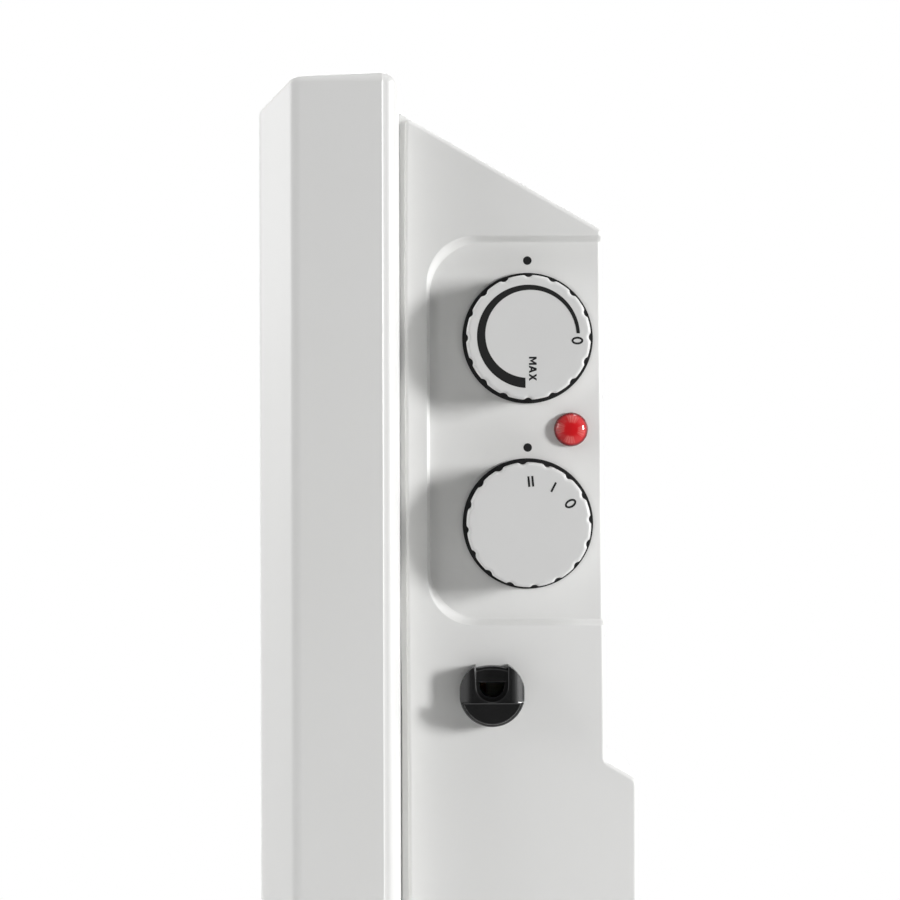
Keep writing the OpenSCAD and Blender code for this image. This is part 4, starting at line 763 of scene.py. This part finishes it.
# Each edge of the arc winds a little inwards or outwards: its radius at the rear, what a whole
# turn adds, and how far the edge's middle lies to the rear and up
ARC_OUTER, ARC_OUTER_ENDS = (14.85, 0.21, 0.02, 0.26), (4.1, 266.4)
ARC_INNER, ARC_INNER_ENDS = (13.68, -1.90, 0.21, 0.47), (4.5, 265.4)
ARC_STEPS = 96
STROKE, LETTER_HIGH, DIGIT_HIGH = 0.58, 2.2, 3.05
DOT_RADIUS, DOT_DEPTH = 1.25, 23.3

ink = mottled("pad_printed_ink", INK, INK_THIN, INK_CLOUD, 3, {"Roughness": 0.45, "IOR": 1.5})

thermostat_at = middle_of("thermostat_knob")
switch_at = middle_of("switch_knob")
arc = []
for (radius, turn_adds, rear, up), (first, last), steps in (
        (ARC_OUTER, ARC_OUTER_ENDS, range(ARC_STEPS + 1)),
        (ARC_INNER, ARC_INNER_ENDS, range(ARC_STEPS, -1, -1))):
    for k in steps:
        degrees = first + (last - first) * k / ARC_STEPS
        a = math.radians(degrees)
        reach = radius + turn_adds * degrees / 360 + rear * math.cos(a) + up * math.sin(a)
        arc.append((thermostat_at[0] + reach * math.cos(a), thermostat_at[1] + reach * math.sin(a)))
piece(
    "printed_thermostat_arc", bar(arc, KNOB_FACE - INK_ROOT, KNOB_FACE + INK_THICK),
    ink, "thermostat_dial")


def printed(name, marks, centre, reach, angle, turn_by, body):
    """Marks drawn as outlines, printed on a knob at a distance and angle from its middle."""
    skin = bmesh.new()
    cos, sin = math.cos(math.radians(turn_by)), math.sin(math.radians(turn_by))
    y = centre[0] + reach * math.cos(math.radians(angle))
    z = centre[1] + reach * math.sin(math.radians(angle))
    for edges in marks:
        placed = [
            [(y + u * cos - v * sin, z + u * sin + v * cos) for u, v in edge] for edge in edges]
        levels = [
            along_x(edge, x) for edge in placed for x in (KNOB_FACE - INK_ROOT, KNOB_FACE + INK_THICK)]
        if len(placed) == 2:
            levels[2:] = reversed(levels[2:])
        loft(skin, levels, wrap=len(placed) == 2)
    return piece(name, skin, ink, body)


def bar_mark(middle, high):
    """One upright stroke."""
    stroke = rect(middle - STROKE / 2, -high / 2, middle + STROKE / 2, high / 2, 0)
    return [[corner[:2] for corner in stroke]]


def zero_mark(wide, high):
    """An oval ring, one stroke thick."""
    turns = [math.tau * k / 40 for k in range(40)]
    return [
        [((wide / 2 - thin) * math.cos(a), (high / 2 - thin) * math.sin(a)) for a in turns]
        for thin in (0, STROKE)]


one, two = [bar_mark(0, DIGIT_HIGH)], [bar_mark(-0.57, DIGIT_HIGH), bar_mark(0.57, DIGIT_HIGH)]
printed(
    "printed_thermostat_zero", [zero_mark(2.25, 3.4)], thermostat_at, 14.15, -4.2, 90,
    "thermostat_dial")
printed("printed_switch_two", two, switch_at, 12.63, 87.6, 5, "switch_dial")
printed("printed_switch_one", one, switch_at, 13.06, 56.9, -27, "switch_dial")
printed("printed_switch_zero", [zero_mark(2.4, 3.55)], switch_at, 13.54, 27.2, -60, "switch_dial")
# The letters M, A and X one after the other, each as half its outline, mirrored
letter_m = [
    (-1.17, 0), (-0.64, 0), (-0.64, 1.3), (0, 0.2), (0, 1.05), (-0.6, LETTER_HIGH),
    (-1.17, LETTER_HIGH)]
letter_a = [(-1.08, 0), (-0.5, 0), (-0.35, 0.45), (0, 0.45), (0, LETTER_HIGH), (-0.32, LETTER_HIGH)]
letter_x = [
    (-1.05, 0), (-0.4, 0), (0, 0.64), (0, 1.54), (-0.37, LETTER_HIGH), (-1.0, LETTER_HIGH),
    (-0.33, 1.1)]
word = []
for letter, along in ((letter_m, -2.35), (letter_a, 0.1), (letter_x, 2.4)):
    split = max(i for i, p in enumerate(letter) if p[0] == 0)
    half = letter[split:] + letter[:split]
    mirrored = [(-u, v) for u, v in reversed(half) if u != 0]
    word.append([[(along + u, v - LETTER_HIGH / 2) for u, v in half + mirrored]])
max_print = printed(
    "printed_thermostat_max", word, thermostat_at, 9.28, -82.6, -90, "thermostat_dial")
eye = [(0.1 + u, v - LETTER_HIGH / 2) for u, v in ((-0.17, 0.88), (0.17, 0.88), (0, 1.45))]
eye = [(thermostat_at[0] + 1.2 + v, thermostat_at[1] - 9.2 - u) for u, v in eye]
carve(max_print, bar(eye, KNOB_FACE - 0.1, KNOB_FACE + 1))
for name, height in (("printed_dot_thermostat", 396.9), ("printed_dot_switch", 342.0)):
    spot = [(DOT_RADIUS, RECESS_FLOOR - INK_ROOT), (DOT_RADIUS, RECESS_FLOOR + INK_THICK)]
    piece(name, spun(spot, (DOT_DEPTH, height), 40), ink)

# Strain relief
# A snap-in bushing of black nylon. Its head has two flats for pliers and a channel that turns
# the cord, and a D-shaped plate presses the cord down.
RELIEF_AT = (12.6, 270.2)
RELIEF_RADIUS, RELIEF_FLAT, RELIEF_HIGH = 9.6, 9.45, 6.5
NECK_RADIUS, NECK_LONG = 7, 11
# The clamp's seat has a rounded edge, and the cheeks a nearly sharp one
SEAT_EDGE, CHEEK_EDGE = 0.8, 0.3
# The cheeks' slope towards each side: distance in from the side, and depth below the top
CHEEK_SLOPE = (
    (-0.1, 2.9), (0.05, 2.2), (0.25, 1.72), (0.9, 1.30), (1.6, 0.87), (2.3, 0.5), (3.0, 0.22),
    (3.7, 0.06), (4.5, -0.1))
CHANNEL_LIP, CHANNEL_LIP_DEEP = 0.5, 0.3
CHANNEL_HALF, CHANNEL_FLOOR, BORE_RISE, BORE_RADIUS = 4.7, 1.6, 2.4, 3.7
# The channel's mouth ends in a shallow arch, at two heights, with a low bar along it that the
# cord bends over, and a ledge lies across the top of the bore
MOUTH_SIDE, MOUTH_TOP, ARCH_BEND = 7.45, 8.5, 15
SILL_SIDE, SILL_TOP, SILL_WIDE, SILL_HALF = 6.2, 7.3, 1.15, 4.8
LEDGE, LEDGE_TOP = 3.1, 7.5
PLATE_EDGE, PLATE_IN, PLATE_THICK, PLATE_BEVEL = -2.4, 0.8, 1.5, 0.5
GLOSS_CLOUD = 5
HEAD_TOP = CASING_SIDE + RELIEF_HIGH

gloss_nylon = mottled(
    "polished_black_nylon", NYLON, NYLON_SHADE, GLOSS_CLOUD, 2,
    {"Roughness": 0.22, "IOR": 1.53, "Coat Weight": 0.3, "Coat Roughness": 0.1})


def head_ring(shrink, x):
    """The head's outline: round, with a flat at each side."""
    flat = RELIEF_FLAT - shrink
    points = circle((0, 0), RELIEF_RADIUS - shrink, 120)
    return [(x, RELIEF_AT[0] + max(-flat, min(flat, y)), RELIEF_AT[1] + z) for y, z in points]


def at_relief(corners):
    """Corners drawn round the middle of the strain relief, in their place."""
    return [(RELIEF_AT[0] + y, RELIEF_AT[1] + z, radius) for y, z, radius in corners]


rings = [head_ring(0, CASING_SIDE)]
for inwards, below in quarter(6):
    seat, above = [
        head_ring(edge * inwards, HEAD_TOP - edge * below) for edge in (SEAT_EDGE, CHEEK_EDGE)]
    rings.append([s if s[2] < RELIEF_AT[1] + PLATE_EDGE else c for s, c in zip(seat, above)])
relief = piece("strain_relief_head", loft(bmesh.new(), rings), gloss_nylon)
for way in (-1, 1):
    waste = [(HEAD_TOP - drop, way * (RELIEF_RADIUS - wide)) for wide, drop in CHEEK_SLOPE]
    outside = way * (RELIEF_RADIUS + 1)
    waste += [(HEAD_TOP + 1, waste[-1][1]), (HEAD_TOP + 1, outside), (waste[0][0], outside)]
    waste = [(x, RELIEF_AT[0] + y) for x, y in waste]
    carve(relief, loft(bmesh.new(), [
        along_z(waste, RELIEF_AT[1] + PLATE_EDGE), along_z(waste, RELIEF_AT[1] + 12)]))
neck = [(NECK_RADIUS, CASING_SIDE - NECK_LONG), (NECK_RADIUS, CASING_SIDE + 0.5)]
carve(relief, spun(neck, RELIEF_AT), "UNION")
channel_end = CHANNEL_HALF * 0.999
channel = at_relief([
    (-CHANNEL_HALF, BORE_RISE - CHANNEL_HALF, channel_end),
    (CHANNEL_HALF, BORE_RISE - CHANNEL_HALF, channel_end),
    (CHANNEL_HALF, 20, 0.5), (-CHANNEL_HALF, 20, 0.5)])
narrow, broad = outline(channel), outline(inset(channel, -CHANNEL_LIP))
carve(relief, loft(bmesh.new(), [
    along_x(narrow, CASING_SIDE + CHANNEL_FLOOR), along_x(narrow, HEAD_TOP - CHANNEL_LIP_DEEP),
    along_x(broad, HEAD_TOP + 0.01), along_x(broad, HEAD_TOP + 2)]))
bore = [(BORE_RADIUS, CASING_SIDE - NECK_LONG - 1), (BORE_RADIUS, HEAD_TOP)]
carve(relief, spun(bore, (RELIEF_AT[0], RELIEF_AT[1] + BORE_RISE)))
mouth = at_relief([
    (-CHANNEL_HALF, MOUTH_SIDE, 0), (0, MOUTH_TOP, ARCH_BEND), (CHANNEL_HALF, MOUTH_SIDE, 0),
    (CHANNEL_HALF, 14, 0), (-CHANNEL_HALF, 14, 0)])
carve(relief, bar(outline(mouth), CASING_SIDE - 0.1, CASING_SIDE + 9))
sill = at_relief([
    (-SILL_HALF, SILL_SIDE, 0.1), (0, SILL_TOP, ARCH_BEND), (SILL_HALF, SILL_SIDE, 0.1),
    (SILL_HALF, SILL_SIDE + SILL_WIDE, 0.1), (0, SILL_TOP + SILL_WIDE, ARCH_BEND),
    (-SILL_HALF, SILL_SIDE + SILL_WIDE, 0.1)])
carve(relief, loft(bmesh.new(), [
    along_x(outline(inset(sill, wide)), CASING_SIDE + x)
    for wide, x in ((0, 0.3), (0, 2.9), (0.12, 3.2), (0.4, 3.35))]), "UNION")
ramp = outline([
    (0.3, LEDGE, 0), (2.6, LEDGE, 0.4), (2.9, LEDGE_TOP, 0), (0.3, LEDGE_TOP, 0)], 4)
carve(relief, loft(bmesh.new(), [
    [(CASING_SIDE + p.x, RELIEF_AT[0] + y, RELIEF_AT[1] + p.y) for p in ramp]
    for y in (-CHANNEL_HALF - 0.1, CHANNEL_HALF + 0.1)]), "UNION")
soften(relief, angle=35)
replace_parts(relief, "strain_relief_body")


def plate_ring(shrink, x, edge):
    """The plate's outline: the part of the head's round below a straight edge."""
    radius = RELIEF_RADIUS - shrink
    first = math.asin(edge / radius)
    turns = [first - (math.pi + 2 * first) * k / 60 for k in range(61)]
    return [
        (x, RELIEF_AT[0] + radius * math.cos(a), RELIEF_AT[1] + radius * math.sin(a)) for a in turns]


plate = [
    plate_ring(PLATE_IN, HEAD_TOP, PLATE_EDGE),
    plate_ring(PLATE_IN, HEAD_TOP + PLATE_THICK - PLATE_BEVEL, PLATE_EDGE),
    plate_ring(PLATE_IN + 0.15, HEAD_TOP + PLATE_THICK - 0.15, PLATE_EDGE - 0.1),
    plate_ring(PLATE_IN + PLATE_BEVEL, HEAD_TOP + PLATE_THICK, PLATE_EDGE - 0.3)]
clamp = piece("strain_relief_plate", loft(bmesh.new(), plate), gloss_nylon)
soften(clamp, angle=35)
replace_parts(clamp, "strain_relief_clamp")

# Front panel
# A tray pressed from 0.8 mm steel and powder coated: flat face, chamfer all round, drafted
# sides and a rolled rear edge with a flange. The outlet window is cut near its top.
PANEL_HALF, PANEL_LOW = 320, 38
PANEL_BEND, FACE_BEND = 3, 1
PANEL_DEEP, ROLLED_EDGE = 41, 4.8
CHAMFER_DEEP, CHAMFER_IN = 10.7, 9.7
# The roll starts with a small joggle that catches the light as a line
JOGGLE, JOGGLE_LONG = 0.28, 0.45
DRAFT = math.radians(2.5)
FLANGE = 20
WINDOW_HALF, WINDOW_LOW, WINDOW_HIGH, WINDOW_BEND = 280, 361, 421, 3
# The cut edge of the window: depth behind the face, and how much wider the window is there
WINDOW_EDGE = ((SHEET, 0), (0.2, 0), (0.06, 0.06), (0, 0.2))
FACE_Y = -OVERALL_DEPTH / 2

tray = rect(-PANEL_HALF, PANEL_LOW, PANEL_HALF, PANEL_TOP, PANEL_BEND)
window = rect(-WINDOW_HALF, WINDOW_LOW, WINDOW_HALF, WINDOW_HIGH, WINDOW_BEND)
roll_start = PANEL_DEEP - ROLLED_EDGE
side_in = (roll_start - CHAMFER_DEEP) * math.tan(DRAFT)
bends = outline([
    (0, side_in + 60, 1), (0, side_in + CHAMFER_IN, 3), (CHAMFER_DEEP, side_in, 6),
    (roll_start, 0, 0), (60, 90, 0)], 8)
# Depth and distance in from the side, over the chamfer's two bends, the joggle and the roll
path = bends[9:27] + [(roll_start, 0), (roll_start + JOGGLE_LONG, JOGGLE)]
for k in range(2, 13):
    a = math.pi / 2 * k / 12
    path.append((
        roll_start + ROLLED_EDGE * math.sin(a),
        JOGGLE + (ROLLED_EDGE - JOGGLE) * (1 - math.cos(a))))
path.append((PANEL_DEEP, FLANGE))
rings = [along_y(outline(inset(window, -grow)), FACE_Y + deep) for deep, grow in WINDOW_EDGE]
for deep, wide in ribbon(path, SHEET):
    # Towards the face the corners close to a mitre
    corners = [(x, z, max(radius, FACE_BEND)) for x, z, radius in inset(tray, wide)]
    rings.append(along_y(outline(corners), FACE_Y + deep))
panel = piece(
    "front_panel_pressing", loft(bmesh.new(), rings, wrap=True), powder_coat)
soften(panel, angle=24)
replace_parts(panel, "front_panel")

# Outlet grille
# One ABS moulding clipped in behind the window: tilted blades that throw the warm air forwards,
# held by upright ribs and a frame.
BLADES, BLADE_PITCH, BLADE_WIDE, BLADE_THICK = 11, 5, 9, 1.2
BLADE_TILT = math.radians(35)
RIBS, RIB_PITCH, RIB_THICK = 7, 80, 1.6
GRILLE_PLAY = 0.3
GRILLE_DEEP = SHEET + BLADE_WIDE * math.cos(BLADE_TILT)
# The frame's section: depth behind the face, and distance in from the window's edge
GRILLE_SECTION = (
    (GRILLE_DEEP, 0), (2.8, 0), (2.8, -6), (SHEET, -6), (SHEET, 0), (0.4, 0), (0.12, 0.12),
    (0, 0.4), (0, 1.6), (0.12, 1.88), (0.4, 2), (GRILLE_DEEP, 2))

border = rect(
    -WINDOW_HALF + GRILLE_PLAY, WINDOW_LOW + GRILLE_PLAY, WINDOW_HALF - GRILLE_PLAY,
    WINDOW_HIGH - GRILLE_PLAY, WINDOW_BEND - GRILLE_PLAY)
rings = [along_y(outline(inset(border, wide)), FACE_Y + deep) for deep, wide in GRILLE_SECTION]
grille = piece("outlet_louvres", loft(bmesh.new(), rings, wrap=True), moulded_abs)
blades = bmesh.new()
tilt_cos, tilt_sin = math.cos(BLADE_TILT), math.sin(BLADE_TILT)
for i in range(BLADES):
    z = (WINDOW_LOW + WINDOW_HIGH) / 2 + (i - (BLADES - 1) / 2) * BLADE_PITCH
    section = []
    for end in (0, 1):
        for k in range(7):
            a = math.pi * (end + k / 6) + math.pi / 2
            u = (end - 0.5) * (BLADE_WIDE - BLADE_THICK) + BLADE_THICK / 2 * math.cos(a)
            v = BLADE_THICK / 2 * math.sin(a)
            section.append((
                FACE_Y + GRILLE_DEEP / 2 + u * tilt_cos + v * tilt_sin,
                z - u * tilt_sin + v * tilt_cos))
    loft(blades, [along_x(section, -WINDOW_HALF + 1.5), along_x(section, WINDOW_HALF - 1.5)])
carve(grille, blades, "UNION")
ribs = bmesh.new()
for i in range(RIBS):
    x = (i - (RIBS - 1) / 2) * RIB_PITCH
    upright = outline([
        (x - RIB_THICK / 2, FACE_Y + 1.2, 0.5), (x + RIB_THICK / 2, FACE_Y + 1.2, 0.5),
        (x + RIB_THICK / 2, FACE_Y + GRILLE_DEEP, 0.3),
        (x - RIB_THICK / 2, FACE_Y + GRILLE_DEEP, 0.3)], 3)
    loft(ribs, [along_z(upright, WINDOW_LOW + 1), along_z(upright, WINDOW_HIGH - 1)])
carve(grille, ribs, "UNION")
soften(grille, angle=35)
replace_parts(grille, "outlet_grille")

# Feet
# Two arched ABS mouldings screwed up into the end caps, saddled round the panel's lower edge.
FOOT_X, FOOT_HALF, FOOT_ROUND = 281.5, 18, 3
WELL_RADIUS, WELL_TOP, WELL_DEPTHS = 4, 46, (2.2, 37.2)
foot_corners = [
    (-110, 3, 3.6), (-82, 3, 6), (-68, 12, 13), (68, 12, 13), (82, 3, 6), (110, 3, 3.6),
    (110, 14, 6), (63.2, 32, 13), (51.2, 50, 3.6), (-11.2, 50, 3.6), (-11.2, 37.7, 3.6),
    (-51.2, 37.7, 3.6), (-63.2, 24, 13), (-110, 14, 6)]
half = [(FOOT_HALF - FOOT_ROUND * below, FOOT_ROUND * inwards) for inwards, below in quarter(6)]
for side, name in ((1, "right_foot"), (-1, "left_foot")):
    across = [(side * FOOT_X - x, wide) for x, wide in reversed(half)]
    across += [(side * FOOT_X + x, wide) for x, wide in half]
    rings = [along_x(outline(inset(foot_corners, wide)), x) for x, wide in across]
    foot = piece(name + "_moulding", loft(bmesh.new(), rings), moulded_abs)
    wells = bmesh.new()
    for y in WELL_DEPTHS:
        ring = circle((side * FOOT_X, y), WELL_RADIUS, 32)
        loft(wells, [along_z(ring, 0), along_z(ring, WELL_TOP)])
    carve(foot, wells)
    soften(foot, angle=28)
    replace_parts(foot, name)

# Rubber pads
# Four grey rubber discs pressed into the feet, ringed underneath so that they grip.
PAD_RADIUS, PAD_HIGH, PAD_Y, PAD_RINGS = 10, 3, 96, (3, 5, 7)
RUBBER, RUBBER_DUST, DUST_SIZE = "#2B2B2C", "#3C3C3D", 1.5
moulded_rubber = mottled(
    "moulded_rubber", RUBBER, RUBBER_DUST, DUST_SIZE, 3, {"Roughness": 0.75, "IOR": 1.52},
    bump=(0.2, 0.05))
pad_profile = [(0.3, 0)]
for ring in PAD_RINGS:
    pad_profile += [(ring - 0.5, 0), (ring - 0.3, 0.5), (ring + 0.3, 0.5), (ring + 0.5, 0)]
pad_profile += [
    (PAD_RADIUS - 0.6, 0), (PAD_RADIUS - 0.15, 0.15), (PAD_RADIUS, 0.6), (PAD_RADIUS, PAD_HIGH),
    (0.3, PAD_HIGH)]
pads = bmesh.new()
for x in (-FOOT_X, FOOT_X):
    for y in (-PAD_Y, PAD_Y):
        loft(pads, [along_z(circle((x, y), radius, 48), z) for radius, z in pad_profile])
pads = soften(piece("rubber_pads", pads, moulded_rubber))
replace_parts(pads, "foot_pads")

# Screws
# Pan-head self-tapping screws in zinc-plated steel with a cross recess: bright, slightly
# blue, with faint turning marks.
PLATE_BRIGHT, PLATE_DULL, TURNING_MARK = "#C6C8CB", "#A9ACB0", 0.7
plated = mottled(
    "zinc_plated_screw_steel", PLATE_BRIGHT, PLATE_DULL, TURNING_MARK, 2,
    {"Roughness": 0.3, "Metallic": 1})
dress(plated, "screw_steel", "control_screws", "rear_screws", "bracket_screws", "foot_screws")
